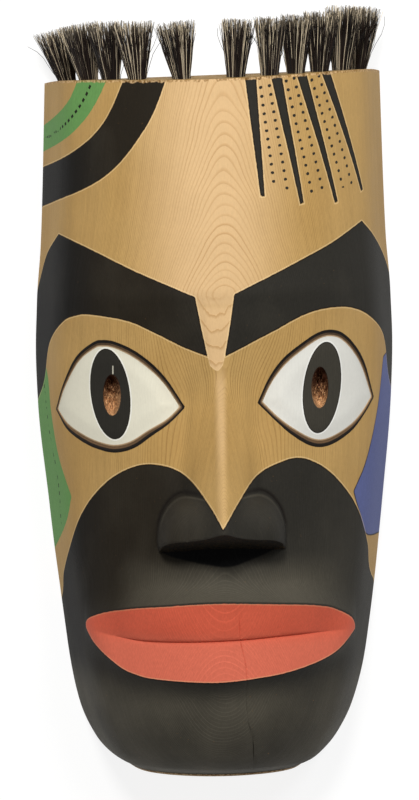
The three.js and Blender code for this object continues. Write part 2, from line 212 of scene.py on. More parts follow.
# The drying crack that runs down through the lips and the chin.
CRACK = [(9.7, -109.5), (9.4, -120), (10, -131), (12.2, -141), (13.2, -150), (13.4, -166), (14.6, -178),
         (17.5, -190), (18, -203), (18.2, -212)]
CRACK_SIZE = {"depth": 1.3, "width": 0.35, "opens": (-109.5, -122), "ends": (-212, -205), "shallow": 0.35,
              "deepens": (-175, -190), "edges_from": -110}

# Tufts: where each stands along the top end, where its tip leans to, its length, and how far it splays.
TUFTS = [
    (-84, -7.5, 28.5, 7), (-71.5, -5.5, 30.5, 7), (-59, -3.5, 31, 6.8), (-44.5, -2.5, 31, 7.2),
    (-20, -4, 30.5, 7.2), (10, 1, 31, 4.8), (29, 0.5, 31, 4), (44, 0.5, 31.5, 5), (58, 1, 32.5, 5.6),
    (71, 1.5, 35, 6), (82.5, 3, 35, 6),
]
TUFT = {"inset": 9.5, "shank": 4.8, "hole": 10, "root": 8, "gap": 0.3, "hole_sides": 20}

# How bristles bend: their bow and their kinks, how much more of both a stray one has, and how far above the
# floor, in metres, the lowest ones start to level out.
BEND = {"bow": 0.035, "stray_bow": 0.2, "kink": 0.012, "stray_kink": 0.04, "stray_splay": 0.5,
        "stray_drop": 0.12, "floor_gap": 0.002, "floor_slope": 0.2}

# Edges that turn more than this stay crisp.
SHARP_ANGLE = math.radians(38)

# Spacing of the mesh's points over the front, the side planes, deep carving, carved edges and the flat parts.
SPACING = {"front": 1.42, "side": 2.6, "fine": 0.7, "edge": 1.1, "pupil": 0.8, "iris": 1.0, "flat": 4}

# How far the points between keep from carved lines, holes, pupils' edges and the block's own edges, where the
# front's closer points end as a share of the width, and the box round the raw wood under the nose.
CLEAR = {"even": 0.9, "deep": 0.5, "hole": 3, "pupil": 0.2, "rim": 1, "flat": 1.5}
FRONT_SHARE = 0.9
RAW_BOX = ((-34, -82), (34, -68))

# The view, in the design's millimetres, and the lights: direction, distance, size, power and colour.
CAMERA = {"eye": (-69.1, 97.1, 1900), "target": (-2.8, -2.3, 0), "lens": 146.4}
STAGE = {"half_side": 4, "floor_z": -0.0002, "floor_share": 0.17, "floor_mottle": 0.02, "floor_glow": 0.9,
         "room_light": 0.26}
LIGHTS = {
    "key": ((-0.12, 0.6, 1.0), 1.8, 0.34, 23, (1.0, 0.985, 0.95)),
    "right": ((0.4, 0.6, 1.0), 1.9, 0.5, 11, (1.0, 1.0, 1.0)),
}


def smooth_table(rows):
    """A smooth curve through a table of (place, value) rows, in either order of place."""
    place, value = np.array(sorted(rows), float).T
    chord = np.diff(value) / np.diff(place)
    product = chord[:-1] * chord[1:]
    total = np.where(product > 0, chord[:-1] + chord[1:], 1)
    slope = np.r_[chord[0], np.where(product > 0, 2 * product / total, 0), chord[-1]]

    def at(p):
        p = np.clip(p, place[0], place[-1])
        i = np.clip(np.searchsorted(place, p, side="right") - 1, 0, len(place) - 2)
        step = place[i + 1] - place[i]
        t = (p - place[i]) / step
        return (value[i] * (1 + 2 * t) * (1 - t) ** 2 + value[i + 1] * t * t * (3 - 2 * t)
                + step * (slope[i] * t * (1 - t) ** 2 - slope[i + 1] * t * t * (1 - t)))

    return at


half_width_at = smooth_table([(y, half) for y, half, _ in STATIONS])
height_at = smooth_table([(y, height) for y, _, height in STATIONS])
tilt_at = smooth_table(TILT)
skew_at = smooth_table(SKEW)
nose_ridge_at = smooth_table(NOSE_RIDGE)
nose_half_width_at = smooth_table(NOSE_HALF_WIDTH)
nose_flat_at = smooth_table(NOSE_FLAT)
nose_blend_at = smooth_table(NOSE_BLEND)
lip_top_at = smooth_table(LIP_TOP)
lip_parting_at = smooth_table(LIP_PARTING)
lip_bottom_at = smooth_table(LIP_BOTTOM)
crack_x_at = smooth_table([(y, x) for x, y in CRACK])


def smooth_step(value, start, end):
    t = np.clip((value - start) / (end - start), 0, 1)
    return t * t * (3 - 2 * t)


def smooth_max(a, b, blend):
    nearness = np.clip(blend - np.abs(a - b), 0, None)
    return np.maximum(a, b) + nearness**2 / (4 * blend)


def section_radius(angle, half_width, height):
    """Distance from the back's centre line to the surface, at an angle from the face's outward direction."""
    across, out = np.abs(np.sin(angle)), np.cos(angle)
    front = 1 / np.hypot(across / (FRONT_SPREAD * half_width), out / height)
    side = half_width / (across + SIDE_DRAFT * out)
    nearness = np.clip(EDGE_BLEND - np.abs(front - side), 0, None) / EDGE_BLEND
    return np.minimum(front, side) - nearness**2 * EDGE_BLEND / 4


def section_height(x, half_width, height, steps=30):
    """Height of a section above the rim at a given x."""
    low, high = np.zeros(np.shape(x)), np.full(np.shape(x), math.pi / 2)
    for _ in range(steps):
        angle = (low + high) / 2
        short = section_radius(angle, half_width, height) * np.sin(angle) < np.abs(x)
        low, high = np.where(short, angle, low), np.where(short, high, angle)
    return section_radius(low, half_width, height) * np.cos(low)


def place(x, y, z):
    """Carries points of the even, upright design to their place on the slightly uneven carving."""
    fade = smooth_step(y, TOP_LEAN["fade_from"], TOP_Y)
    drop = TOP_LEAN["drop"] * fade * (np.clip(z, 0, None) / TOP_HEIGHT) ** TOP_LEAN["power"]
    sideways = SWAY * y + skew_at(y) * (x / SKEW_AT) ** 2
    return np.stack(np.broadcast_arrays(x + sideways, y - drop + tilt_at(y) * x, z), axis=-1)


def design_origin():
    """Where the frame's origin lies in the design, found from the mask's box in both."""
    low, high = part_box("mask")
    rows = np.linspace(CHIN_Y, TOP_Y, 400)
    left = place(-half_width_at(rows), rows, 0)[:, 0].min()
    right = place(half_width_at(rows), rows, 0)[:, 0].max()
    corner = place(STATIONS[0][1], TOP_Y, 0)[1]
    return np.array([(left + right) / 2 - (low.x + high.x) / 2 / MM, corner - high.y / MM, 0])


ORIGIN = design_origin()


def lookup(table, row, column):
    """Reads a table between its rows and columns."""
    i = np.clip(row.astype(int), 0, table.shape[0] - 2)
    j = np.clip(column.astype(int), 0, table.shape[1] - 2)
    u, v = row - i, column - j
    return ((1 - u) * ((1 - v) * table[i, j] + v * table[i, j + 1])
            + u * ((1 - v) * table[i + 1, j] + v * table[i + 1, j + 1]))


class Sheet:
    """The outer surface rolled out flat: s runs across from the centre line, t along the profile."""

    ROWS = 260
    COLUMNS = 360

    def __init__(self):
        y = np.linspace(CHIN_Y, TOP_Y, 4 * self.ROWS)
        steps = np.hypot(np.diff(y), np.diff(height_at(y)))
        t = np.r_[0, np.cumsum(steps)]
        self.t = np.linspace(0, t[-1], self.ROWS)
        self.y = np.interp(self.t, t, y)
        angle = np.linspace(0, math.pi / 2, self.COLUMNS)
        half, height = half_width_at(self.y)[:, None], height_at(self.y)[:, None]
        radius = section_radius(angle[None], half, height)
        x, z = radius * np.sin(angle), radius * np.cos(angle)
        s = np.cumsum(np.hypot(np.diff(x), np.diff(z)), axis=1)
        s = np.hstack([np.zeros((self.ROWS, 1)), s])
        self.reach = s[:, -1]
        share = np.linspace(0, 1, self.COLUMNS)
        self.angles = np.array([np.interp(share * row[-1], row, angle) for row in s])
        self.across = np.array([np.interp(share * xs[-1], xs, row) for xs, row in zip(x, s)])

    def row_of(self, y):
        return np.interp(y, self.y, np.arange(self.ROWS))

    def unroll(self, points):
        """(x, y) on the face to (s, y) on the sheet. What lies past the rim stays past it."""
        x, y = np.asarray(points, float).T
        half = half_width_at(y)
        column = np.clip(np.abs(x) / half, 0, 1) * (self.COLUMNS - 1)
        s = lookup(self.across, self.row_of(y), column) + np.clip(np.abs(x) - half, 0, None)
        return np.stack([np.sign(x) * s, y], axis=1)

    def t_of(self, y):
        return np.interp(y, self.y, self.t)

    def roll(self, s, t):
        """Points of the sheet back on the block: x, y, z."""
        row = np.interp(t, self.t, np.arange(self.ROWS))
        y = np.interp(t, self.t, self.y)
        share = np.clip(np.abs(s) / np.interp(t, self.t, self.reach), 0, 1)
        angle = lookup(self.angles, row, share * (self.COLUMNS - 1))
        radius = section_radius(angle, half_width_at(y), height_at(y))
        return np.sign(s) * radius * np.sin(angle), y, radius * np.cos(angle)


SHEET = Sheet()


def spline(points, steps=8):
    """Points of a smooth curve through the given ones."""
    p = np.array(points, float)
    padded = np.vstack([2 * p[0] - p[1], p, 2 * p[-1] - p[-2]])
    t = np.linspace(0, 1, steps, endpoint=False)[:, None]
    runs = [
        ((2 * b) + (c - a) * t + (2 * a - 5 * b + 4 * c - d) * t**2 + (3 * b - a - 3 * c + d) * t**3) / 2
        for a, b, c, d in zip(padded, padded[1:], padded[2:], padded[3:])
    ]
    return np.vstack(runs + [p[-1:]])


def outline(runs):
    """A closed outline from runs that meet at corners, on the rolled-out sheet."""
    return SHEET.unroll(np.vstack([spline(run)[:-1] for run in runs]))


def respace(points, spacing, closed=False):
    """The same line with its points evenly spaced."""
    if closed:
        points = np.vstack([points, points[:1]])
    length = np.r_[0, np.cumsum(np.hypot(*np.diff(points, axis=0).T))]
    count = max(int(round(length[-1] / spacing)), 2)
    at = np.linspace(0, length[-1], count + 1)
    line = np.stack([np.interp(at, length, column) for column in points.T], axis=1)
    return line[:-1] if closed else line


def depth_inside(points, ring, reach=REACH):
    """How far each point lies inside a closed outline, negative outside, up to a reach."""
    depth = np.full(len(points), -float(reach))
    low, high = ring.min(0) - reach, ring.max(0) + reach
    near = np.flatnonzero(((points > low) & (points < high)).all(1))
    p = points[near]
    best = np.full(len(p), float(reach) ** 2)
    inside = np.zeros(len(p), bool)
    for start, end in zip(ring, np.roll(ring, -1, axis=0)):
        edge = end - start
        offset = p - start
        along = np.clip(offset @ edge / max(edge @ edge, 1e-12), 0, 1)
        best = np.minimum(best, ((offset - along[:, None] * edge) ** 2).sum(1))
        if start[1] != end[1]:
            crosses = (start[1] > p[:, 1]) != (end[1] > p[:, 1])
            inside ^= crosses & (offset[:, 0] < offset[:, 1] * edge[0] / edge[1])
    depth[near] = np.sqrt(best) * np.where(inside, 1, -1)
    return depth


def along_line(points, line, reach=REACH):
    """Distance along an open line, and away from it, for each point."""
    best = np.full(len(points), float(reach))
    travelled = np.zeros(len(points))
    start_length = 0.0
    for start, end in zip(line[:-1], line[1:]):
        edge = end - start
        length = math.hypot(*edge)
        along = np.clip((points - start) @ edge / length**2, 0, 1)
        away = np.hypot(*(points - start - along[:, None] * edge).T)
        closer = away < best
        best = np.where(closer, away, best)
        travelled = np.where(closer, start_length + along * length, travelled)
        start_length += length
    return travelled, best


def inset(ring, distance, spacing):
    """A closed outline moved inwards (or outwards, if negative), trimmed where it would cross itself."""
    ring = respace(ring, spacing, closed=True)
    tangent = np.roll(ring, -1, axis=0) - np.roll(ring, 1, axis=0)
    normal = np.stack([-tangent[:, 1], tangent[:, 0]], axis=1) / np.hypot(*tangent.T)[:, None]
    area = (ring[:, 0] * np.roll(ring[:, 1], -1) - ring[:, 1] * np.roll(ring[:, 0], -1)).sum()
    moved = ring + np.sign(area) * distance * normal
    kept = np.abs(depth_inside(moved, ring) - distance) < 0.12 * abs(distance) + 0.02
    return moved[kept]


def ellipse(centre, half_width, half_height, lean=0.0, count=40):
    """An upright ellipse on the face, its top leaning away from the centre line."""
    turn = np.linspace(0, 2 * math.pi, count, endpoint=False)
    across, up = half_width * np.cos(turn), half_height * np.sin(turn)
    side = math.copysign(1, centre[0])
    x = centre[0] + across * math.cos(lean) + side * up * math.sin(lean)
    y = centre[1] + up * math.cos(lean) - side * across * math.sin(lean)
    return SHEET.unroll(np.stack([x, y], axis=1))


EYE_RINGS = [outline(EYE_RIGHT), outline(EYE_LEFT)]
IRIS_RINGS = [ellipse(c, IRIS["half_width"], IRIS["half_height"], IRIS["lean"]) for c in IRISES.values()]
PUPIL_RINGS = [ellipse(c, PUPIL["half_width"], PUPIL["half_height"]) for c in PUPILS.values()]


def lip_curve(table, half_width=LIPS["half_width"], count=60):
    """A line of the mouth on the sheet, from left to right."""
    x = -half_width * np.cos(np.linspace(0, math.pi, count))
    return SHEET.unroll(np.c_[x, table(x)])


LIP_RING = np.vstack([lip_curve(lip_top_at), lip_curve(lip_bottom_at)[::-1]])


def wavy(points, size, seed, count=14):
    """Smooth random waves of about unit height, about `size` long, in any number of dimensions."""
    random = np.random.default_rng(seed)
    total = np.zeros(len(points))
    for _ in range(count):
        direction = random.normal(size=points.shape[1])
        direction *= random.uniform(0.6, 1.6) / np.linalg.norm(direction)
        total += np.sin(points @ direction * 2 * math.pi / size + random.uniform(0, 2 * math.pi))
    return total / count**0.5


def socket_dip(x, y):
    """How deep the eye sockets lie in the block."""
    dip = np.exp(-((np.abs(x) - SOCKET["x"]) / SOCKET["half_width"]) ** 2)
    dip *= np.exp(-((y - SOCKET["y"]) / SOCKET["half_height"]) ** 2)
    return SOCKET["depth"] * dip


def base_height(x, y):
    """The block with its eye sockets, before nose and lips."""
    return section_height(x, half_width_at(y), height_at(y)) - socket_dip(x, y)


def wing_share(x, y):
    """Distance out from a wing's centre, 1 at its outline."""
    across = np.abs(x) - WING["x"]
    width = np.where(across > 0, WING["half_width"], WING["inner_width"])
    return np.hypot(across / width, (y - WING["y"]) / WING["half_height"])


def nose_top(x, y):
    """Height of the nose before its underside is cut: ridge, flanks and wings."""
    half, flat, ridge = nose_half_width_at(y), nose_flat_at(y), nose_ridge_at(y)
    fall = ridge - (base_height(half, y) - NOSE["sink"])
    rounding = NOSE["rounding"]
    out = np.clip(np.abs(x) - flat, 0, None) / (half - flat)
    flank = (np.hypot(out, rounding) - rounding) / (math.hypot(1, rounding) - rounding)
    wedge = np.where(y < NOSE["top"], ridge - fall * flank, NOWHERE)
    share = np.clip(wing_share(x, y), 0, 1)
    wing = WING["z"] + WING["stand"] * (1 - share ** WING["fullness"]) ** 0.5
    wing = wing + WING["slope"] * np.clip(WING["x"] - np.abs(x), 0, None)
    return smooth_max(wedge, np.where(share < 1, wing, NOWHERE), WING["blend"])


def nose_underside(y):
    """Height of the flat underside of the nose, which rises steeply to the tip."""
    return NOSE["tip_height"] - (NOSE["tip"] - y) / NOSE["undercut"]


def nose_rim(count=61, steps=30):
    """Edge between the nose and its underside, and the foot of the underside on the face."""
    x = np.linspace(-NOSE["rim_reach"], NOSE["rim_reach"], count)
    low, high = np.full(count, float(NOSE["foot"])), np.full(count, NOSE["tip"])
    for _ in range(steps):
        y = (low + high) / 2
        over = np.maximum(nose_top(x, y), base_height(x, y)) > nose_underside(y)
        low, high = np.where(over, y, low), np.where(over, high, y)
    foot = NOSE["tip"] - (NOSE["tip_height"] - base_height(x, low)) * NOSE["undercut"]
    return np.c_[x, low], np.c_[x, foot]


NOSE_RIM, NOSE_FOOT = nose_rim()


def lip_height(x, y, depth):
    """How far the lips and the skirt round them stand out of the face."""
    across = np.clip(np.abs(x) / LIPS["half_width"], 0, 1)
    arch = np.sqrt(np.clip(1 - across**2, 0, 1)) ** (1 / LIPS["corner_power"])
    stand = LIPS["corner_stand"] + (LIPS["stand"] - LIPS["corner_stand"]) * arch
    parting = lip_parting_at(x)
    edge = np.where(y > parting, lip_top_at(x), lip_bottom_at(x))
    share = np.clip((y - parting) / np.where(np.abs(edge - parting) < 0.1, 0.1, edge - parting), 0, 1)
    corner = smooth_step(np.abs(x), *LIPS["corner"])
    low = LIPS["parting_stand"] + (stand - LIPS["parting_stand"]) * corner
    face = low + (stand - low) * share
    seam = np.exp(-((y - parting) / LIPS["seam_width"]) ** 2)
    face -= LIPS["seam_depth"] * seam * (1 - smooth_step(np.abs(x), *LIPS["seam_fade"]))
    skirt = stand * np.clip(1 + depth / LIPS["skirt"], 0, 1) ** LIPS["hollowing"]
    return np.where(depth >= 0, face, skirt)


def carved_nose(x, y, z):
    """The face with the nose on it, and how deep each point lies in the raw underside and in a wing."""
    near = (np.abs(x) < NOSE["reach"]) & (y < NOSE["top"]) & (y > NOSE["foot"])
    nx, ny = x[near], y[near]
    share = wing_share(nx, ny)
    groove = np.exp(-((share - 1) * WING["half_width"] / WING_GROOVE["width"]) ** 2)
    groove *= smooth_step(ny, *WING_GROOVE["foot"]) * smooth_step(np.abs(nx), *WING_GROOVE["inner_end"])
    ground = z[near] - WING_GROOVE["depth"] * groove
    blend = 0.4 + nose_blend_at(ny) * smooth_step(share, 1.0, 1.4)
    nose = smooth_max(ground, nose_top(nx, ny), blend)
    under = nose_underside(ny)
    z[near] = np.maximum(ground, np.minimum(nose, under))
    raw, wing = np.full(len(z), -float(REACH)), np.full(len(z), -float(REACH))
    raw[near] = np.where(under > ground - 1, nose - under, -REACH)
    wing[near] = np.where(nose < under, (1 - share) * WING["half_width"], -REACH)
    return z, {"raw": np.clip(raw, -REACH, REACH), "wing": np.clip(wing, -REACH, REACH)}


def carved_eyes(sheet, z):
    """The face with its eyes cut in, and how deep each point lies in an eye, an iris and a pupil."""
    eye, iris, pupil = [np.maximum(*[depth_inside(sheet, ring) for ring in rings])
                        for rings in (EYE_RINGS, IRIS_RINGS, PUPIL_RINGS)]
    bevel = np.clip(eye / EYE["bevel"], 0, 1)
    z = z - EYE["depth"] * bevel + EYE["bulge"] * smooth_step(eye, EYE["bevel"], REACH)
    bowl = np.clip((pupil - PUPIL["wall"]) / (PUPIL["half_width"] - PUPIL["wall"]), 0, 1)
    sunk = PUPIL["lip"] * np.clip(pupil / PUPIL["wall"], 0, 1) + PUPIL["depth"] * (1 - (1 - bowl) ** 2)
    splinters = wavy(sheet * SPLINTERS["stretch"], SPLINTERS["length"], SPLINTERS["seed"])
    splinters *= smooth_step(pupil, *SPLINTERS["fade"])
    return z - sunk + SPLINTERS["height"] * splinters, {"eye": eye, "iris": iris, "pupil": pupil}


def crack_depth(x, y):
    """The drying crack, which is shallow in the lips and opens towards the chin."""
    inside = (y < CRACK[0][1]) & (y > CRACK[-1][1])
    depth = CRACK_SIZE["depth"] * np.where(inside, 1, 0) * smooth_step(y, *CRACK_SIZE["opens"])
    depth *= smooth_step(y, *CRACK_SIZE["ends"])
    depth *= CRACK_SIZE["shallow"] + (1 - CRACK_SIZE["shallow"]) * smooth_step(y, *CRACK_SIZE["deepens"])
    return depth * np.clip(1 - np.abs(x - crack_x_at(y)) / CRACK_SIZE["width"], 0, 1)


def relief(x, y, z, s):
    """The carved height at every point of the front, and the depths inside its carved outlines."""
    sheet = np.c_[s, y]
    z, depths = carved_nose(x, y, z - socket_dip(x, y))
    # How far each point lies inside the shadow painted under the nose, which stops at the nose's rim.
    below_rim = np.interp(x, *NOSE_RIM.T) - y
    depths["painted_shadow"] = np.minimum(depth_inside(sheet, outline(UNDER_NOSE)), below_rim)
    lips = depth_inside(sheet, LIP_RING, LIPS["skirt"] + 1)
    on_lips = (lips > -LIPS["skirt"]) & (np.abs(x) < FRONT_HALF_WIDTH)
    depths["lips"] = lips
    z, eye_depths = carved_eyes(sheet, np.where(on_lips, z + lip_height(x, y, lips), z))
    z = z - crack_depth(x, y)
    waves = TOOL_WAVES["height"] * wavy(np.c_[x, y], TOOL_WAVES["length"], TOOL_WAVES["seed"])
    return z + waves * smooth_step(z, *TOOL_WAVES["fade"]), {**depths, **eye_depths}


def fan_motif(sheet):
    """The fan of tapered bars at the viewer's upper right, and the rows of dots between them."""
    dx, dy = sheet[:, 0] - FAN["x"], FAN["y"] - sheet[:, 1]
    radius, angle = np.hypot(dx, dy), np.arctan2(dx, dy)
    step = (FAN["last"] - FAN["first"]) / (FAN["bars"] - 1)
    bars = np.full(len(sheet), -float(REACH))
    for i, outer in enumerate(FAN["outer"]):
        share = np.clip((radius - FAN["inner"]) / (outer - FAN["inner"]), 0, 1)
        half = FAN["root_width"] + (FAN["tip_width"] - FAN["root_width"]) * share
        side = half - radius * np.abs(angle - FAN["first"] - i * step)
        bars = np.maximum(bars, np.minimum(side, outer - radius))
    parts = FAN["rows"] + 1
    row = (angle - FAN["first"]) / step * parts
    nearest = np.clip(np.round(row), 1, parts * (FAN["bars"] - 1) - 1)
    on_bar = nearest % parts == 0
    away = radius * np.abs(row - nearest) * step / parts
    outer = np.interp(row / parts, np.arange(FAN["bars"]), FAN["outer"]) - FAN["clear_end"]
    return bars, radius, np.where(on_bar | (radius > outer), FAN["clear_end"], away)


def painted(s, y):
    """Depth inside each flat painted area, and the coordinates of the rows of dots and dashes."""
    sheet = np.c_[s, y]
    black, dot_along, dot_away = fan_motif(sheet)
    for runs in (BROW_RIGHT, BROW_LEFT, LOWER_FACE, TEMPLE_BAND):
        black = np.maximum(black, depth_inside(sheet, outline(runs)))
    green = np.maximum(*[depth_inside(sheet, outline(runs)) for runs in (TEMPLE_GREEN, CHEEK_GREEN)])
    rows = [along_line(sheet, SHEET.unroll(spline(row))) for row in (TEMPLE_ROW, CHEEK_ROW)]
    first = rows[0][1] < rows[1][1]
    return {
        "black": black,
        "green": green,
        "blue": depth_inside(sheet, outline(CHEEK_BLUE)),
        "facet": depth_inside(sheet, outline(FACET)),
        "edge": np.clip(TOP_Y - y, 0, REACH),
        "dots": np.c_[dot_along, dot_away],
        "dashes": np.where(first[:, None], *[np.stack(row, 1) for row in rows]),
    }


def hex_lattice(low, high, spacing):
    """Points of an even triangular lattice that fills a box."""
    across = np.arange(low[0], high[0] + spacing, spacing)
    up = np.arange(low[1], high[1] + spacing, spacing * math.sqrt(0.75))
    grid_x, grid_y = np.meshgrid(across, up)
    grid_x[1::2] += spacing / 2
    return np.stack([grid_x.ravel(), grid_y.ravel()], axis=1)


def clear_of(points, others, distance):
    """The points that are no nearer than a distance to any of the others, tested on a fine grid."""
    cell = distance / 1.5
    taken = set()
    for i, j in np.floor(others / cell).astype(int):
        taken.update((i + a, j + b) for a in (-1, 0, 1) for b in (-1, 0, 1))
    keys = np.floor(points / cell).astype(int)
    free = [(i, j) not in taken for i, j in keys.tolist()]
    return points[np.array(free, bool)]


def triangulate(loops, lines, inner, holes=()):
    """Triangles over a closed loop that keep the given lines as edges: the points, then the faces."""
    points, edges = [], []
    for line, closed in [(loop, True) for loop in loops] + [(line, False) for line in lines]:
        first = len(points)
        points.extend(line.tolist())
        edges.extend((first + i, first + i + 1) for i in range(len(line) - 1))
        if closed:
            edges.append((len(points) - 1, first))
    points.extend(inner.tolist())
    flat, _, faces = delaunay_2d_cdt([Vector(p) for p in points], edges, [], 1, 1e-5, False)[:3]
    flat, faces = np.array([tuple(p) for p in flat]), np.array([tuple(f) for f in faces])
    for hole in holes:
        faces = faces[depth_inside(flat[faces].mean(1), hole, 3) < 0.05]
    walls = np.sort(np.array(edges[:sum(len(loop) for loop in loops)]), axis=1)
    return flat, peeled(faces, walls, len(flat))


def peeled(faces, walls, count):
    """The faces left once those are taken off that have a free edge which is no wall."""
    walls = walls @ (count, 1)
    while True:
        edges = np.sort(faces[:, [[0, 1], [1, 2], [2, 0]]], axis=2) @ (count, 1)
        _, where, uses = np.unique(edges, return_inverse=True, return_counts=True)
        free = (uses[where].reshape(edges.shape) == 1) & ~np.isin(edges, walls)
        if not free.any():
            return faces
        faces = faces[~free.any(axis=1)]


def on_sheet(line):
    """Points given by s and y, as s and t."""
    return np.c_[line[:, 0], SHEET.t_of(line[:, 1])]


def sheet_border():
    """The sheet's own outline: along the chin, the right rim, the top end and the left rim."""
    chin, top = [np.linspace(-reach, reach, int(2 * reach / SPACING["front"]))
                 for reach in SHEET.reach[[0, -1]]]
    rim = respace(np.c_[SHEET.t, SHEET.reach], SPACING["side"])
    return np.vstack([
        np.c_[chin, np.zeros(len(chin))][:-1],
        np.c_[rim[:, 1], rim[:, 0]][:-1],
        np.c_[top[::-1], np.full(len(top), SHEET.t[-1])][:-1],
        np.c_[-rim[::-1, 1], rim[::-1, 0]][:-1],
    ])


def carved_rings():
    """Closed outlines that the mesh's edges follow: of the eyes, the pupils, the irises and the lips."""
    edge = SPACING["edge"]
    rings = [inset(ring, d, edge) for ring in EYE_RINGS for d in (-EYE["lid"], 0.0, EYE["bevel"])]
    rings += [inset(ring, d, SPACING["pupil"]) for ring in PUPIL_RINGS for d in (0.0, PUPIL["wall"])]
    rings += [inset(ring, 0.0, SPACING["iris"]) for ring in IRIS_RINGS]
    return rings + [inset(LIP_RING, d, edge) for d in (0.0, LIPS["edge"])]


def carved_lines():
    """Open lines that the mesh's edges follow: of the lips' parting, the crack, the nose and its wings."""
    parting = lip_curve(lip_parting_at, LIPS["seam_half_width"])
    lines = [parting + (0, shift * LIPS["seam_width"]) for shift in (-2, -1, 0, 1, 2)]
    crack = spline(CRACK)
    crack = crack[crack[:, 1] < CRACK_SIZE["edges_from"]]
    lines += [SHEET.unroll(crack + (shift * CRACK_SIZE["width"], 0)) for shift in (-1, 0, 1)]
    lines += [SHEET.unroll(NOSE_RIM), SHEET.unroll(NOSE_FOOT[4:-4])]
    ridge_y = np.linspace(62, NOSE["tip"] + 1, 90)
    turn = np.linspace(*WING["arc"], 60)
    for side in (-1, 1):
        lines.append(SHEET.unroll(np.c_[side * nose_flat_at(ridge_y), ridge_y]))
        for share in WING["lines"]:
            x = WING["x"] + share * WING["half_width"] * np.cos(turn)
            y = WING["y"] + share * WING["half_height"] * np.sin(turn)
            lines.append(SHEET.unroll(np.c_[side * x, y]))
    return lines


def filling(border, fixed):
    """Points between the fixed ones: evenly spaced, closer on the front, and closest in deep carving."""
    low, high = border.min(0), border.max(0)
    turn_s = SHEET.unroll(np.c_[half_width_at(SHEET.y) * FRONT_SHARE, SHEET.y])[:, 0]
    front, side = [hex_lattice(low, high, SPACING[name]) for name in ("front", "side")]
    front = front[np.abs(front[:, 0]) < np.interp(front[:, 1], SHEET.t, turn_s)]
    turn, reach = [np.interp(side[:, 1], SHEET.t, table) for table in (turn_s, SHEET.reach)]
    side = side[(np.abs(side[:, 0]) > turn + CLEAR["rim"]) & (np.abs(side[:, 0]) < reach - CLEAR["rim"])]
    even = np.vstack([front, side])
    margin = SPACING["side"] / 2
    even = even[(even[:, 1] > margin) & (even[:, 1] < SHEET.t[-1] - margin)]
    pupils = [hex_lattice(ring.min(0), ring.max(0), SPACING["fine"]) for ring in PUPIL_RINGS]
    pupils = [points[depth_inside(points, ring) > CLEAR["pupil"]]
              for points, ring in zip(pupils, PUPIL_RINGS)]
    under = hex_lattice(*RAW_BOX, SPACING["fine"])
    rim_y, foot_y = [np.interp(under[:, 0], *line.T) for line in (NOSE_RIM, NOSE_FOOT)]
    under = SHEET.unroll(under[(under[:, 1] < rim_y - 0.3) & (under[:, 1] > foot_y - 2)])
    deep = clear_of(np.vstack([on_sheet(points) for points in (*pupils, under)]), fixed, CLEAR["deep"])
    return np.vstack([clear_of(even, np.vstack([fixed, deep]), CLEAR["even"]), deep])


def outer_skin():
    """The carved and painted front: points, faces, depths in outlines, borders, and the even design."""
    border = sheet_border()
    loops = [border] + [on_sheet(ring) for ring in carved_rings()]
    lines = [on_sheet(respace(line, SPACING["edge"])) for line in carved_lines()]
    flat, faces = triangulate(loops, lines, filling(border, np.vstack(loops + lines)))
    s, t = flat[:, 0], flat[:, 1]
    x, y, z = SHEET.roll(s, t)
    z, depths = relief(x, y, z, s)
    depths.update(painted(s, y))
    on_rim = np.abs(s) > np.interp(t, SHEET.t, SHEET.reach) - 1e-3
    z = np.where(on_rim, 0, z)
    on_border = {"top": np.abs(t - SHEET.t[-1]) < 1e-4, "chin": np.abs(t) < 1e-4, "side": on_rim}
    return place(x, y, z), faces, depths, on_border, np.stack([x, y, z], axis=1)


def tuft_axis(tuft):
    """Where a tuft stands on the top end, in the design, and the direction that it leans."""
    x, lean, length, _ = tuft
    _, half_width, height = STATIONS[0]
    z = float(section_height(np.array(float(x)), half_width - TUFT["inset"], height - TUFT["inset"]))
    foot = place(np.array(float(x)), np.array(float(TOP_Y)), np.array(z))
    direction = np.array([lean, length, 0.0])
    return x, z, foot, direction / np.linalg.norm(direction)


def base_line(edge):
    """Points along the back's plane from the right end of an end's arc to its left end."""
    return np.linspace(edge[:, 0].max(), edge[:, 0].min(), 60)[1:-1]


def end_loop(edge):
    """The closed outline, in x and z, of an end of the block."""
    arc = edge[np.argsort(edge[:, 0])][:, [0, 2]]
    base = base_line(edge)
    return np.vstack([arc, np.stack([base, np.zeros(len(base))], axis=1)])


def rim_outline(sides, top, chin):
    """The outline of the flat back: up the left side, along the top, down the right side, along the chin."""
    left, right = sides[sides[:, 0] < 0], sides[sides[:, 0] > 0]
    left, right = left[np.argsort(left[:, 1])], right[np.argsort(-right[:, 1])]
    top_x, chin_x = base_line(top)[::-1], base_line(chin)
    x = np.concatenate([left[:, 0], top_x, right[:, 0], chin_x])
    ends = [np.full(len(top_x), float(TOP_Y)), np.full(len(chin_x), float(CHIN_Y))]
    y = np.concatenate([left[:, 1], ends[0], right[:, 1], ends[1]])
    return place(x, y, np.zeros(len(x)))[:, :2]


def ring_wall(count):
    """Triangles between a ring of points and the ring that is numbered on from it."""
    i = np.arange(count)
    j = (i + 1) % count
    return np.vstack([np.stack([i, j, i + count], 1), np.stack([j, j + count, i + count], 1)])


def ring_cap(count):
    """Triangles from a ring of points to the single point that follows it."""
    i = np.arange(count)
    return np.stack([i, (i + 1) % count, np.full(count, count)], 1)


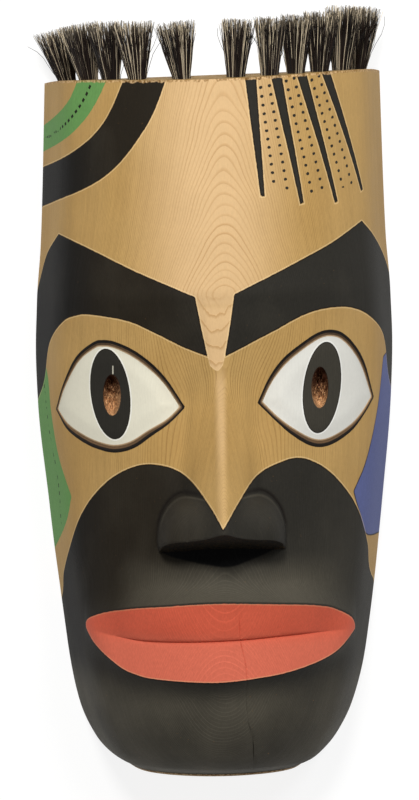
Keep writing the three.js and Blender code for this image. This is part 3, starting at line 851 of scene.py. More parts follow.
def top_end(edge):
    """The flat top end between its front edge and the rim, with the tuft holes drilled in it."""
    loop = end_loop(edge)
    radius = TUFT["shank"] + TUFT["gap"]
    turn = np.linspace(0, 2 * math.pi, TUFT["hole_sides"], endpoint=False)
    holes = []
    for tuft in TUFTS:
        x, z, _, _ = tuft_axis(tuft)
        holes.append(np.stack([x + radius * np.cos(turn), z + radius * np.sin(turn)], axis=1))
    inner = hex_lattice(loop.min(0), loop.max(0), SPACING["flat"])
    inner = inner[depth_inside(inner, loop) > CLEAR["flat"]]
    inner = clear_of(inner, np.vstack(holes), CLEAR["hole"])
    flat, faces = triangulate([loop, *holes], [], inner, holes)
    points = [place(flat[:, 0], float(TOP_Y), flat[:, 1])]
    all_faces = [faces]
    count = len(flat)
    for tuft, ring in zip(TUFTS, holes):
        _, _, _, direction = tuft_axis(tuft)
        mouth = place(ring[:, 0], float(TOP_Y), ring[:, 1])
        floor = mouth - TUFT["hole"] * direction
        n = len(ring)
        points += [mouth, floor, floor.mean(0)[None]]
        all_faces += [ring_wall(n) + count, ring_cap(n) + n + count]
        count += 2 * n + 1
    return np.vstack(points), np.vstack(all_faces)


def chin_end(edge):
    """The rounded end of the chin, from the skin's last ring down to its flat cap."""
    ring = end_loop(edge)
    rows = []
    for turn in np.linspace(0, math.pi / 2, CHIN_CAP["rings"] + 1):
        scale = 1 - (1 - CHIN_CAP["scale"]) * (1 - math.cos(turn))
        rows.append(place(ring[:, 0] * scale, CHIN_Y - CHIN_CAP["drop"] * math.sin(turn), ring[:, 1] * scale))
    rows.append(rows[-1].mean(0)[None])
    n, last = len(ring), CHIN_CAP["rings"]
    faces = [ring_wall(n) + n * k for k in range(last)] + [ring_cap(n) + n * last]
    return np.vstack(rows), np.vstack(faces)


def scatter(value, factor):
    """A share between 0 and 1 that looks random, yet is always the same for a value."""
    return np.mod(np.sin(value) * factor, 1)


def gouge_marks(s, t):
    """Shallow scallops left by a gouge, long along the grain."""
    length, width = GOUGE["length"], GOUGE["width"]
    row = np.floor(s / width)
    best = np.full(len(s), np.inf)
    for dr in (-1, 0, 1):
        r = row + dr
        shift = scatter(r * 12.9898, 43758.5453) * length
        column = np.floor((t - shift) / length)
        for dc in (-1, 0, 1):
            c = column + dc
            jitter = scatter(r * 78.233 + c * 37.719, 24634.6345) - 0.5
            centre_s = (r + 0.5 + 0.35 * jitter) * width
            centre_t = (c + 0.5 + 0.3 * jitter) * length + shift
            best = np.minimum(best, ((s - centre_s) / width) ** 2 + ((t - centre_t) / length) ** 2)
    return GOUGE["bow"] * (best - 0.25)


def grid_faces(rows, columns):
    """Triangles over a grid of points that are numbered row by row."""
    i = (np.arange(rows - 1)[:, None] * columns + np.arange(columns - 1)).ravel()
    return np.vstack([np.stack([i, i + 1, i + columns], 1),
                      np.stack([i + 1, i + columns + 1, i + columns], 1)])


def hollow():
    """The bowl behind the face, with its gouge marks: points, faces, and its rim."""
    middle = (HOLLOW["top"] + HOLLOW["chin"]) / 2
    half = (HOLLOW["top"] - HOLLOW["chin"]) / 2
    turns = np.linspace(-math.pi / 2, math.pi / 2, HOLLOW["rows"])[1:-1]
    angles = np.linspace(-math.pi / 2, math.pi / 2, HOLLOW["columns"])
    y = middle + half * np.sin(turns)
    along = np.abs(y - middle) / half

    def narrowed(full, power):
        return full * (1 - along**power) ** (1 / power)

    wide = narrowed(half_width_at(y) - HOLLOW["side_wall"], HOLLOW["width_power"])
    high = narrowed(height_at(y) - HOLLOW["front_wall"], HOLLOW["height_power"])
    angle, row = np.meshgrid(angles, np.arange(len(y)))
    radius = section_radius(angle, wide[row], high[row])
    marks = gouge_marks((angle * GOUGE["turn_radius"]).ravel(), y[row].ravel()).reshape(radius.shape)
    fade = smooth_step(radius * np.cos(angle), 1, 14) * smooth_step(1 - along[row], 0, 0.03)
    radius = radius + marks * fade
    x, z = radius * np.sin(angle), np.clip(radius * np.cos(angle), 0, None)
    points = place(x.ravel(), y[row].ravel(), z.ravel())
    rows, columns = radius.shape
    faces = grid_faces(rows, columns)
    count = rows * columns
    for start, tip, tip_y in ((0, count, HOLLOW["chin"]), (count - columns, count + 1, HOLLOW["top"])):
        points = np.vstack([points, place(np.zeros(1), np.array([float(tip_y)]), np.zeros(1))])
        k = start + np.arange(columns - 1)
        fan = np.stack([k, k + 1, np.full(columns - 1, tip)], 1)
        faces = np.vstack([faces, fan if start else fan[:, ::-1]])
    first = np.arange(rows) * columns
    return points, faces, points[[*(first + columns - 1), count + 1, *first[::-1], count]]


def back_rim(outer, inner):
    """The flat rim that the mask lies on, between its outline and the hollow's."""
    grid = hex_lattice(outer.min(0), outer.max(0), SPACING["flat"])
    grid = grid[(depth_inside(grid, outer) > CLEAR["flat"]) & (depth_inside(grid, inner) < -CLEAR["flat"])]
    flat, faces = triangulate([outer, inner], [], grid, [inner])
    return np.column_stack([flat, np.zeros(len(flat))]), faces


def welded(patches, tolerance=0.01):
    """Patches joined where their points meet: points, faces, each point's source and each face's patch."""
    points = np.vstack([points for points, _ in patches])
    start = np.r_[0, np.cumsum([len(points) for points, _ in patches])]
    faces = np.vstack([faces + first for (_, faces), first in zip(patches, start)])
    patch = np.repeat(np.arange(len(patches)), [len(faces) for _, faces in patches])
    tree = KDTree(len(points))
    for i, point in enumerate(points):
        tree.insert(point, i)
    tree.balance()
    joined = np.array([min(i for _, i, _ in tree.find_range(point, tolerance)) for point in points])
    faces = joined[faces]
    whole = (faces[:, 0] != faces[:, 1]) & (faces[:, 1] != faces[:, 2]) & (faces[:, 2] != faces[:, 0])
    source, faces = np.unique(faces[whole], return_inverse=True)
    return points[source], faces.reshape(-1, 3), source, patch[whole]


def carved_mesh():
    """The whole carving as one closed mesh in the frame, with its painted outlines as attributes."""
    skin, skin_faces, depths, border, design = outer_skin()
    top, top_faces = top_end(design[border["top"]])
    chin, chin_faces = chin_end(design[border["chin"]])
    bowl, bowl_faces, bowl_rim = hollow()
    rim = rim_outline(*[design[border[name]] for name in ("side", "top", "chin")])
    back, back_faces = back_rim(rim, bowl_rim[:, :2])
    patches = [(skin, skin_faces), (chin, chin_faces), (top, top_faces), (bowl, bowl_faces),
               (back, back_faces)]
    points, faces, source, patch = welded(patches)
    mesh = bpy.data.meshes.new("mask_carving")
    mesh.from_pydata(((points - ORIGIN) * MM).tolist(), [], faces.tolist())
    mesh.polygons.foreach_set("material_index", (patch > 1).astype(np.int32))
    for name, skin_values in depths.items():
        plain = skin_values.ndim == 1
        rest = np.full((sum(len(p) for p, _ in patches[1:]), *skin_values.shape[1:]), -float(REACH))
        if name == "black":
            rest[:len(chin)] = REACH
        values = np.concatenate([skin_values, rest])[source]
        attribute = mesh.attributes.new(name, "FLOAT" if plain else "FLOAT_VECTOR", "POINT")
        if plain:
            attribute.data.foreach_set("value", values.astype(np.float32))
        else:
            padded = np.column_stack([values, np.zeros(len(values))])
            attribute.data.foreach_set("vector", padded.astype(np.float32).ravel())
    face_out(mesh)
    return mesh


def face_out(mesh):
    """Turns a closed mesh's faces outwards. A mesh with a gap or a fold is refused."""
    work = bmesh.new()
    work.from_mesh(mesh)
    gaps = sum(not edge.is_manifold for edge in work.edges)
    if gaps:
        raise RuntimeError(f"{mesh.name} isn't closed: {gaps} edges don't join two faces")
    bmesh.ops.recalc_face_normals(work, faces=work.faces)
    if work.calc_volume(signed=True) < 0:
        bmesh.ops.reverse_faces(work, faces=work.faces)
    for face in work.faces:
        face.smooth = True
    work.to_mesh(mesh)
    work.free()
    mesh.set_sharp_from_angle(angle=SHARP_ANGLE)


class Term:
    """A number, colour or vector in a node tree. Sums, products and powers of terms add Math nodes."""

    def __init__(self, graph, socket):
        self.graph, self.socket = graph, socket

    def _math(self, operation, *values):
        return self.graph.add("ShaderNodeMath", {"operation": operation}, dict(enumerate(values)))

    def __add__(self, other):
        return self._math("ADD", self, other)

    __radd__ = __add__

    def __mul__(self, other):
        return self._math("MULTIPLY", self, other)

    __rmul__ = __mul__

    def __sub__(self, other):
        return self._math("SUBTRACT", self, other)

    def __rsub__(self, other):
        return self._math("SUBTRACT", other, self)

    def __truediv__(self, other):
        return self._math("DIVIDE", self, other)

    def __pow__(self, other):
        return self._math("POWER", self, other)

    def __abs__(self):
        return self._math("ABSOLUTE", self)

    def sine(self):
        return self._math("SINE", self)

    def floor(self):
        return self._math("FLOOR", self)

    def fract(self):
        return self._math("FRACT", self)

    def hypot(self, other):
        return self._math("SQRT", self * self + other * other)

    def most(self, other):
        return self._math("MAXIMUM", self, other)

    def ramp(self, low, high):
        """0 below low, 1 above high, and a smooth rise between. It falls where low is the higher."""
        settings = {"interpolation_type": "SMOOTHSTEP", "clamp": True}
        return self.graph.add("ShaderNodeMapRange", settings, {0: self, 1: low, 2: high})

    def bump_at(self, centre, width):
        """1 at a value and 0 beyond a width on either side of it."""
        return abs(self - centre).ramp(width, 0)


class Graph:
    """A node tree under construction, for a material or for geometry."""

    def __init__(self, tree):
        self.tree = tree
        tree.nodes.clear()

    def node(self, kind, settings=None, values=None):
        """A node of a type, with its settings made first and then its sockets' values or links."""
        node = self.tree.nodes.new(kind)
        for name, value in (settings or {}).items():
            setattr(node, name, value)
        for key, value in (values or {}).items():
            if isinstance(value, Term):
                self.tree.links.new(value.socket, node.inputs[key])
            else:
                node.inputs[key].default_value = value
        return node

    def add(self, kind, settings=None, values=None, output=0):
        """The same, as the term of one of the node's outputs."""
        return Term(self, self.node(kind, settings, values).outputs[output])

    def attribute(self, name, output="Fac"):
        return self.add("ShaderNodeAttribute", {"attribute_name": name}, output=output)

    def split(self, vector):
        node = self.node("ShaderNodeSeparateXYZ", values={0: vector})
        return [Term(self, node.outputs[i]) for i in range(3)]

    def join(self, x, y, z):
        return self.add("ShaderNodeCombineXYZ", values={0: x, 1: y, 2: z})

    def noise(self, vector, scale, detail=2.0, roughness=0.5):
        """Noise between 0 and 1 whose features are about 1/scale long."""
        values = {"Vector": vector, "Scale": scale, "Detail": detail, "Roughness": roughness}
        return self.add("ShaderNodeTexNoise", None, values)

    def stretched(self, point, scales, detail=2.0, roughness=0.5):
        """Noise of a point in mm whose features are about 1/scale long along each axis."""
        parts = [part * scale for part, scale in zip(point, scales)]
        return self.noise(self.join(*parts), 1.0, detail, roughness)

    def mix(self, share, a, b, blend="MIX"):
        """Colours mixed: a where the share is 0, b where it is 1."""
        settings = {"data_type": "RGBA", "blend_type": blend, "clamp_factor": True}
        a, b = [c if isinstance(c, Term) else (*c, 1)[:4] for c in (a, b)]
        return self.add("ShaderNodeMix", settings, {0: share, 6: a, 7: b}, output=2)

    def tint(self, colour, amount):
        """A colour made lighter or darker by a factor."""
        grey = self.add("ShaderNodeCombineColor", None, {0: amount, 1: amount, 2: amount})
        return self.mix(1, colour, grey, "MULTIPLY")


def linear(red, green, blue):
    """A colour given as 0 to 255 on a screen, as Blender's linear values."""
    return tuple(
        c / 255 / 12.92 if c / 255 <= 0.04045 else ((c / 255 + 0.055) / 1.055) ** 2.4
        for c in (red, green, blue)
    )


# Growth rings: where the tree's heart lies behind the face and how it leans, the rings' spacing, how far they
# stray, and how they arch in the middle of the face, more so on the brow and below the nose.
RINGS = {"x": 3.0, "z": -350.0, "lean_x": 0.004, "lean_z": -0.05, "spacing": 0.87, "wander": 1.6,
         "ripple": 0.14, "arch": 0.3, "brow_arch": 0.2, "arch_width": 1.5, "brow_arch_width": 18.5}

# Steps of the painted rows of dashes and dots, and of the ring lines across the facet between the brows.
DASH_STEP = 4.6
DOT_STEP = 5.2
FACET_STEP = 9


def cedar(graph, sizes, colours):
    """Bare cedar: a point of it in mm, its colour, the height of its grain, and its finer marks."""
    place_on_mask = graph.add("ShaderNodeTexCoord", output="Object")
    x, y, z = point = [part * (1 / MM) for part in graph.split(place_on_mask)]
    wander = graph.stretched(point, (0.03, 0.0045, 0.03)) - 0.5
    ripple = graph.stretched(point, (0.25, 0.03, 0.25), 3.0) - 0.5
    across = x - RINGS["x"] - y * RINGS["lean_x"]
    out = z - RINGS["z"] + y * RINGS["lean_z"]
    brow = y.ramp(0, 60) + y.ramp(-88, -108)
    width = RINGS["arch_width"] + RINGS["brow_arch_width"] * brow
    arch = (width.hypot(across) - width) * (RINGS["arch"] + RINGS["brow_arch"] * brow)
    radius = across.hypot(out) - arch + wander * RINGS["wander"] + ripple * RINGS["ripple"]
    ring = radius * (1 / sizes.ring_spacing)
    ring = ring + (ring * 0.37).sine() * 0.35 + (ring * 0.053).sine() * 1.6
    phase, year = ring.fract(), ring.floor()
    strength = graph.noise(graph.join(year * 0.37, 0.0, 0.0), 1.0, 1.0).ramp(0.3, 0.7)
    late = phase.ramp(0.62, 0.9) * phase.ramp(1.0, 0.95)
    late = late * (0.3 + 0.7 * strength)
    fibre = graph.stretched(point, (2.2, 0.045, 2.2), 3.0, 0.65)
    streak = graph.stretched(point, (0.16, 0.008, 0.16), 3.0)
    patch = graph.stretched(point, (0.02, 0.012, 0.02))
    grit = graph.stretched(point, (0.8, 0.45, 0.8), 3.0, 0.6)
    colour = graph.mix(patch.ramp(0.3, 0.7) * 0.55, colours.cedar_light, colours.cedar_warm)
    colour = graph.mix(late * sizes.grain_contrast, colour, colours.cedar_late)
    colour = graph.tint(colour, 0.64 + 0.34 * fibre + 0.18 * streak + 0.18 * grit)
    return {"point": point, "colour": colour, "height": late * 0.8 + fibre * 0.55, "late": late,
            "fibre": fibre, "patch": patch, "grit": grit}


def new_finish(name):
    """A new material, and its nodes under construction."""
    material = bpy.data.materials.new(name)
    material.use_nodes = True
    return material, Graph(material.node_tree)


def show(graph, values):
    """Ends a material in one shader with the given values."""
    shader = graph.add("ShaderNodeBsdfPrincipled", None, values)
    graph.node("ShaderNodeOutputMaterial", None, {"Surface": shader})


def show_wood(graph, colour, roughness, height, relief):
    """Ends a material of the carving, with its grain raised by a height in mm."""
    bump = graph.add("ShaderNodeBump", None, {"Strength": 1.0, "Distance": relief * MM, "Height": height})
    show(graph, {"Base Color": colour, "Roughness": roughness, "Normal": bump, "Specular IOR Level": 0.18})


def bare_cedar_material(sizes, colours):
    """Cedar left bare: the back, the hollow and the top end, darker and rougher than the face."""
    material, graph = new_finish("bare_cedar")
    wood = cedar(graph, sizes, colours)
    x, y, z = wood["point"]
    dust = graph.stretched(wood["point"], (0.05, 0.05, 0.05), 4.0)
    colour = graph.tint(wood["colour"], 0.62 + 0.3 * dust)
    height = wood["height"] + graph.noise(graph.join(x, y * 0.12, z), 1.1, 4.0)
    show_wood(graph, colour, 0.72 - wood["late"] * 0.1, height, 0.16)
    return material


class Face:
    """The painted face while its colour is built up, coat by coat, over the bare wood."""

    OUTLINES = ("eye", "iris", "pupil", "lips", "raw", "wing", "painted_shadow", "black", "green", "blue", "facet",
                "edge")

    def __init__(self, graph, sizes, colours):
        self.graph, self.sizes, self.colours = graph, sizes, colours
        self.wood = cedar(graph, sizes, colours)
        self.x, self.y, self.z = self.point = self.wood["point"]
        self.fibre, self.grit = self.wood["fibre"], self.wood["grit"]
        self.colour, self.late, self.coated = self.wood["colour"], self.wood["late"], 0.0
        self.spot = graph.join(*self.point)
        self.hand = (graph.noise(self.spot, 0.35, 3.0) - 0.5) * 0.7
        self.depth = {name: graph.attribute(name) for name in self.OUTLINES}

    def lay(self, share, colour):
        """Lays a colour over a share of the face."""
        self.colour = self.graph.mix(share, self.colour, colour)

    def coat(self, share, paint, show_late, grain=0.35):
        """Lays a coat of paint, a little lighter or darker along the grain and in the brush's streaks."""
        streaks = (self.fibre + self.grit - 1) * grain + (self.wood["patch"] - 0.5) * 0.12
        self.lay(share, self.graph.tint(paint, 1 + streaks + self.late * show_late))
        self.coated = share.most(self.coated)

    def covers(self, name, soft=0.16):
        """The share that a painted area covers, its edge a little uneven from the hand."""
        return (self.depth[name] + self.hand).ramp(-soft, soft)


def lighten_forehead(face):
    """Paler wood on the forehead, on the ridge of the nose and on the facet cut between the brows, partly the
    wood's own tone and partly painted light; the nose's flanks are lightened as painted light against their
    shade.
    """
    graph, colours, x, y = face.graph, face.colours, face.x, face.y
    # Painted highlight along the ridge of the nose, partly wear as well.
    ridge = abs(x + 0.5).ramp(4.5, 0.5) * y.ramp(24, 6) * (1 - 0.45 * y.ramp(-20, -45))
    facet = (face.depth["facet"] + face.hand * 0.4).ramp(-0.2, 0.3) * y.ramp(60, 48)
    bent = y - 0.09 * (x + 3) * (x + 3) + (graph.stretched(face.point, (0.2, 0.06, 0), 3.0) - 0.5) * 9
    cut = (bent * (1 / FACET_STEP) - 0.2).fract()
    face.late = face.late * (1 - facet) + cut.ramp(0.7, 0.94) * cut.ramp(1.0, 0.95) * facet
    # Paler in the middle of the forehead and falling off to the sides: partly the wood's own tone, partly
    # painted light.
    pale = (abs(x + 5).ramp(56, 6) * y.ramp(44, 54)).most(facet).most(ridge * 0.6)
    # Painted light: the flanks of the nose are made lighter, against the shade that falls on them.
    flank = abs(abs(x + 0.5) - 9).ramp(9, 2) * y.ramp(15, -15)
    # The pale wood's grain, with painted light towards the top of the forehead and on the facet.
    rubbed = 0.8 + 0.12 * face.fibre + 0.16 * face.grit + 0.04 * y.ramp(80, 120) + 0.07 * facet
    face.colour = graph.tint(face.colour, 1 + 0.14 * flank)
    face.lay(pale * 0.9, graph.tint(colours.cedar_pale, rubbed))
    face.lay(face.late * face.sizes.grain_contrast * pale * (1 - ridge), colours.cedar_late_pale)
    face.lay(face.depth["facet"].bump_at(0.3, 0.35) * y.ramp(50, 38) * 0.25, colours.cedar_edge)


def paint_sides(face):
    """Green on the temple and the cheek, and blue on the other cheek: the share of the green's dashes."""
    graph, colours, hand = face.graph, face.colours, face.hand
    green = face.covers("green")
    face.coat(green, colours.green, 0.05)
    along, away, _ = graph.split(graph.attribute("dashes", "Vector"))
    dash = (along * (1 / DASH_STEP)).fract().bump_at(0.5, 0.42).ramp(0.3, 0.42)
    face.coat(face.covers("blue"), colours.blue, 0.06)
    face.lay((face.depth["blue"] + hand * 0.4).bump_at(0.2, 0.7), colours.line)
    return dash * (away + hand * 0.6).ramp(1.0, 0.7) * green


def paint_black(face, dashes):
    """Black brows, temple band, fan, dots and lower face: thinned by wear on the chin, lighter round the
    mouth by wear and painted sheen, lighter on the wings and the right cheek, darker on the left as painted
    shade, with painted shade in the grooves round the wings and a painted highlight on their edges.
    """
    graph, colours, depth, x, y = face.graph, face.colours, face.depth, face.x, face.y
    black = face.covers("black")
    along, away, _ = graph.split(graph.attribute("dots", "Vector"))
    dot = ((along * (1 / DOT_STEP)).fract() - 0.5) * DOT_STEP
    dot = dot.hypot(away + face.hand * 0.3).ramp(1.15, 0.85)
    face.lay(depth["black"].bump_at(-0.5, 0.45) * 0.45, colours.cedar_edge)
    # Painted shade: the black turns darker and warmer towards the lower left, partly the paint's own warmer
    # tone, and nearly pure black on the far left side.
    shading = x.ramp(20, -50) * y.ramp(-190, -130)
    shaded_black = graph.mix(shading, colours.black, colours.black_shaded_warm)
    shaded_black = graph.mix(x.ramp(-60, -90) * 0.85, shaded_black, (0, 0, 0))
    face.coat(black.most(dot).most(dashes), shaded_black, 0.05, 0.5)

    cloud = graph.stretched(face.point, (0.03, 0.02, 0.03), 4.0)
    # Lighter round the mouth: partly wear, partly painted sheen on the raised grain.
    mouth = y.ramp(-84, -106) * abs(x - 8).ramp(78, 30) * y.ramp(-150, -140)
    chin = y.ramp(-150, -178)
    wing = depth["wing"].ramp(-0.2, 0.6)
    wear_and_sheen = mouth * 0.75 + chin * (0.74 - 0.2 * x.ramp(10, 50)) + wing * (0.04 + 0.14 * x.ramp(0, -20))
    # Lighter on the viewer's right cheek, and blotchy, more so on the chin.
    wear_and_sheen = wear_and_sheen + 0.12 * x.ramp(30, 70) * y.ramp(-10, -40) + (cloud - 0.5) * (0.5 + chin)
    wear_and_sheen = wear_and_sheen * black * (0.4 + face.late * 0.35 + face.fibre * 0.35 + face.grit * 0.25)
    face.lay(wear_and_sheen, colours.black_wear_and_highlight)
    specks = graph.noise(face.spot, 0.7, 2.0).ramp(0.72, 0.78) * black * (0.2 + 0.4 * chin)
    face.lay(specks, colours.cedar_late)
    # Painted shade in the groove round each wing of the nose, and a painted highlight along the wing's edge.
    above_rim = y.ramp(-76, -66) * black
    face.lay(depth["wing"].bump_at(-1.2, 1.3) * above_rim * 0.8, colours.line)
    face.lay(depth["wing"].bump_at(0.5, 0.6) * above_rim * cloud * 0.5, colours.black_wear_and_highlight)
    face.lay(depth["black"].bump_at(0.4, 0.6) * black * 0.9, colours.line)


def darken_under_nose(face):
    """Raw, torn wood on the underside of the nose, and a shadow painted in black on the hollow that it
    overhangs.
    """
    graph, colours = face.graph, face.colours
    torn = graph.stretched(face.point, (0.9, 0.9, 0.25), 4.0).ramp(0.35, 0.75)
    raw = (face.depth["raw"] + face.hand).ramp(0.9, 1.5)
    face.lay(raw, graph.mix(torn, colours.raw_dark, colours.raw_light))
    # Painted shadow: black laid under the nose, and partly over its raw underside.
    face.lay((face.depth["painted_shadow"] + face.hand).ramp(-0.2, 1.2) * (1 - 0.6 * raw), (0, 0, 0))


def paint_lips(face):
    """Red lips, faded below the parting, with a dark line round them and a pale line just inside it, painted
    as the highlight on the lips' edge.
    """
    colours, depth = face.colours, face.depth["lips"]
    face.lay(depth.bump_at(-0.5, 0.8) * 0.8, colours.line)
    red = face.graph.mix(face.y.ramp(-128, -140), colours.red, colours.red_pale)
    face.coat(face.covers("lips", 0.1), red, 0.15, 0.3)
    # Painted highlight: a pale line just inside the lips' edge.
    face.lay(depth.bump_at(0.35, 0.45) * 0.35, colours.cedar_pale)


def paint_eyes(face):
    """Lids, bare bevels, whites, irises and split pupils, with painted shade towards the top of each pupil:
    the share of the whites.
    """
    graph, colours, hand, x, y, z = face.graph, face.colours, face.hand, face.x, face.y, face.z
    eye, iris = face.depth["eye"], face.depth["iris"]
    wide = y.ramp(0, 24) * 0.9 + y.ramp(-9, -25) * 1.3
    face.lay((eye + hand * 0.4 + wide * 0.35).ramp(-0.8, -0.5), colours.line)
    bevel = graph.mix((eye - wide).ramp(0.7, 1.8), colours.bevel, colours.bevel_pale)
    bevel = graph.tint(bevel, 0.6 + 0.4 * face.fibre + 0.4 * face.grit)
    face.lay((eye + hand * 0.3 - wide * 0.4).ramp(0.2, 0.6), bevel)
    white = (eye + hand * 0.25 - wide).ramp(EYE["bevel"] - 0.12, EYE["bevel"] + 0.12)
    face.coat(white, graph.mix(x.ramp(-20, 30), colours.white, colours.white_cool), -0.03, 0.1)
    face.lay(iris.bump_at(-0.5, 0.55) * 0.8, (0.85, 0.85, 0.82))
    painted_iris = (iris + hand * 0.3).ramp(-0.12, 0.12)
    face.coat(painted_iris, graph.mix(x.ramp(-20, 20) * 0.22, colours.black, colours.black_wear_and_highlight), 0.2, 0.4)
    face.lay(iris.bump_at(0.3, 0.5) * painted_iris * 0.8, colours.line)
    nick = abs(x + 59.8).ramp(0.5, 0.1) * abs(y - 15).ramp(2.8, 1.8)
    face.lay(nick * 0.8, colours.white)
    # Painted shade: the raw wood in each pupil turns darker towards its top.
    fibres = graph.noise(graph.join(x * 1.3, y * 0.6, z), 1.2, 4.0) - y.ramp(-5, 11) * 0.24
    fibres = graph.mix(fibres.ramp(0.28, 0.6), colours.pupil_dark, colours.pupil_light)
    face.lay(face.depth["pupil"].ramp(0.0, 0.5), fibres)
    return white


def fray_top(face):
    """The edge of the top end, frayed by wear."""
    nicks = face.graph.stretched(face.point, (0.5, 0.1, 0.1), 3.0)
    frayed = (face.depth["edge"] - nicks * 2.4).ramp(0.3, -0.3)
    wood = face.graph.mix(face.grit.ramp(0.4, 0.6), face.colours.cedar_late, face.colours.cedar_pale)
    face.lay(frayed * 0.7, wood)


def painted_cedar_material(sizes, colours):
    """The carved face: oiled cedar, and paints thin enough for the grain to show."""
    material, graph = new_finish("painted_cedar")
    face = Face(graph, sizes, colours)
    lighten_forehead(face)
    paint_black(face, paint_sides(face))
    darken_under_nose(face)
    paint_lips(face)
    white = paint_eyes(face)
    fray_top(face)
    roughness = 0.68 + face.coated * 0.06 + face.fibre * 0.1 - face.late * 0.08
    height = face.wood["height"] + (face.late - face.wood["late"]) * 0.8
    height = height * (1 - 0.3 * face.coated) * (1 - 0.7 * white) + face.coated * 0.25
    show_wood(graph, face.colour, roughness, height, sizes.grain_relief)
    return material


def bristle_material(colours):
    """Stiff dark bristle, paler towards the cut tips, with some pale ones among the dark."""
    material, graph = new_finish("bristle")
    shade, along = graph.attribute("shade"), graph.attribute("along")
    dark = graph.mix(shade.ramp(0, 0.8), colours.bristle_dark, colours.bristle_brown)
    pale = shade.ramp(0.8, 0.88) * (0.45 + 0.55 * along)
    colour = graph.mix(pale.most(along.ramp(0.85, 1.0) * shade * 0.35), dark, colours.bristle_pale)
    show(graph, {"Base Color": colour, "Roughness": 0.5, "Specular IOR Level": 0.3})
    return material


def tuft_tree(material):
    """Geometry nodes for one tuft: bristles from a round hole that splay towards an even cut."""
    tree = bpy.data.node_groups.new("bristle_tuft", "GeometryNodeTree")
    tree.interface.new_socket("Geometry", in_out="OUTPUT", socket_type="NodeSocketGeometry")
    sockets = [("Count", "Int", 200), ("Seed", "Int", 1), ("Hole radius", "Float", 0.0038),
               ("Hole depth", "Float", 0.009), ("Length", "Float", 0.033), ("Splay", "Float", 0.006),
               ("Thickness", "Float", 0.00014), ("Stray share", "Float", 0.04)]
    for name, kind, value in sockets:
        socket = tree.interface.new_socket(name, in_out="INPUT", socket_type=f"NodeSocket{kind}")
        socket.default_value = value
    graph = Graph(tree)
    source = graph.node("NodeGroupInput")
    given = {name: Term(graph, source.outputs[name]) for name, _, _ in sockets}

    def chance(low, high, salt):
        values = {2: low, 3: high, "Seed": given["Seed"] * 20 + salt}
        return graph.add("FunctionNodeRandomValue", {"data_type": "FLOAT"}, values, output=1)

    def stored(geometry, name, value, domain="POINT"):
        return graph.add("GeometryNodeStoreNamedAttribute", {"data_type": "FLOAT", "domain": domain},
                         {"Geometry": geometry, "Name": name, "Value": value})

    def named(name):
        return graph.add("GeometryNodeInputNamedAttribute", {"data_type": "FLOAT"}, {"Name": name})

    points = graph.add("GeometryNodePoints", None, {"Count": given["Count"]})
    turn = chance(0.0, 2 * math.pi, 1)
    share = chance(0.0, 1.0, 2) ** 0.5
    stray = graph.add("FunctionNodeCompare", {"data_type": "FLOAT", "operation": "LESS_THAN"},
                      {"A": chance(0.0, 1.0, 3), "B": given["Stray share"]})
    values = {
        "turn": turn,
        "share": share,
        "stray": stray,
        "bend_x": chance(-1.0, 1.0, 4),
        "bend_y": chance(-1.0, 1.0, 5),
        "reach": chance(0.85, 1.04, 6),
        "shade": chance(0.0, 1.0, 7) * (1 - stray),
    }
    for name, value in values.items():
        points = stored(points, name, value)
    line = graph.add("GeometryNodeCurvePrimitiveLine", {"mode": "POINTS"},
                     {"Start": (0, 0, 0), "End": (0, 0, 1)})
    line = graph.add("GeometryNodeResampleCurve", None, {"Curve": line, "Count": 8})
    bristles = graph.add("GeometryNodeInstanceOnPoints", None, {"Points": points, "Instance": line})
    bristles = graph.add("GeometryNodeRealizeInstances", None, {"Geometry": bristles})

    along = graph.add("GeometryNodeSplineParameter", output="Factor")
    bristles = stored(bristles, "along", along)
    total = given["Length"] * named("reach") + given["Hole depth"]
    up = along * total - given["Hole depth"]
    free = (up / given["Length"]).most(0)
    stray_now = named("stray")
    spread = given["Hole radius"] + given["Splay"] * free ** 0.9 * (1 + stray_now * BEND["stray_splay"])
    radius = named("share") * spread
    bow = (free * free) * given["Length"] * (BEND["bow"] + stray_now * BEND["stray_bow"])
    kink = (free * 7 + named("bend_x") * 9).sine() * given["Length"]
    kink = kink * (BEND["kink"] + stray_now * BEND["stray_kink"]) * free
    px = radius * (named("turn") + math.pi / 2).sine() + named("bend_x") * bow + kink
    py = radius * named("turn").sine() + named("bend_y") * bow
    placed = graph.join(px, py, up - stray_now * free * free * given["Length"] * BEND["stray_drop"])
    bristles = graph.add("GeometryNodeSetPosition", None, {"Geometry": bristles, "Position": placed})
    taper = given["Thickness"] * (1.15 - 0.5 * along)
    profile = graph.add("GeometryNodeCurvePrimitiveCircle", {"mode": "RADIUS"},
                        {"Resolution": 3, "Radius": 1.0})
    mesh = graph.add("GeometryNodeCurveToMesh", None,
                     {"Curve": bristles, "Profile Curve": profile, "Scale": taper, "Fill Caps": True})
    mesh = graph.add("GeometryNodeRealizeInstances", None, {"Geometry": mesh})
    mesh = graph.add("GeometryNodeSetMaterial", None, {"Geometry": mesh, "Material": material})
    graph.node("NodeGroupOutput", None, {"Geometry": mesh})
    return tree


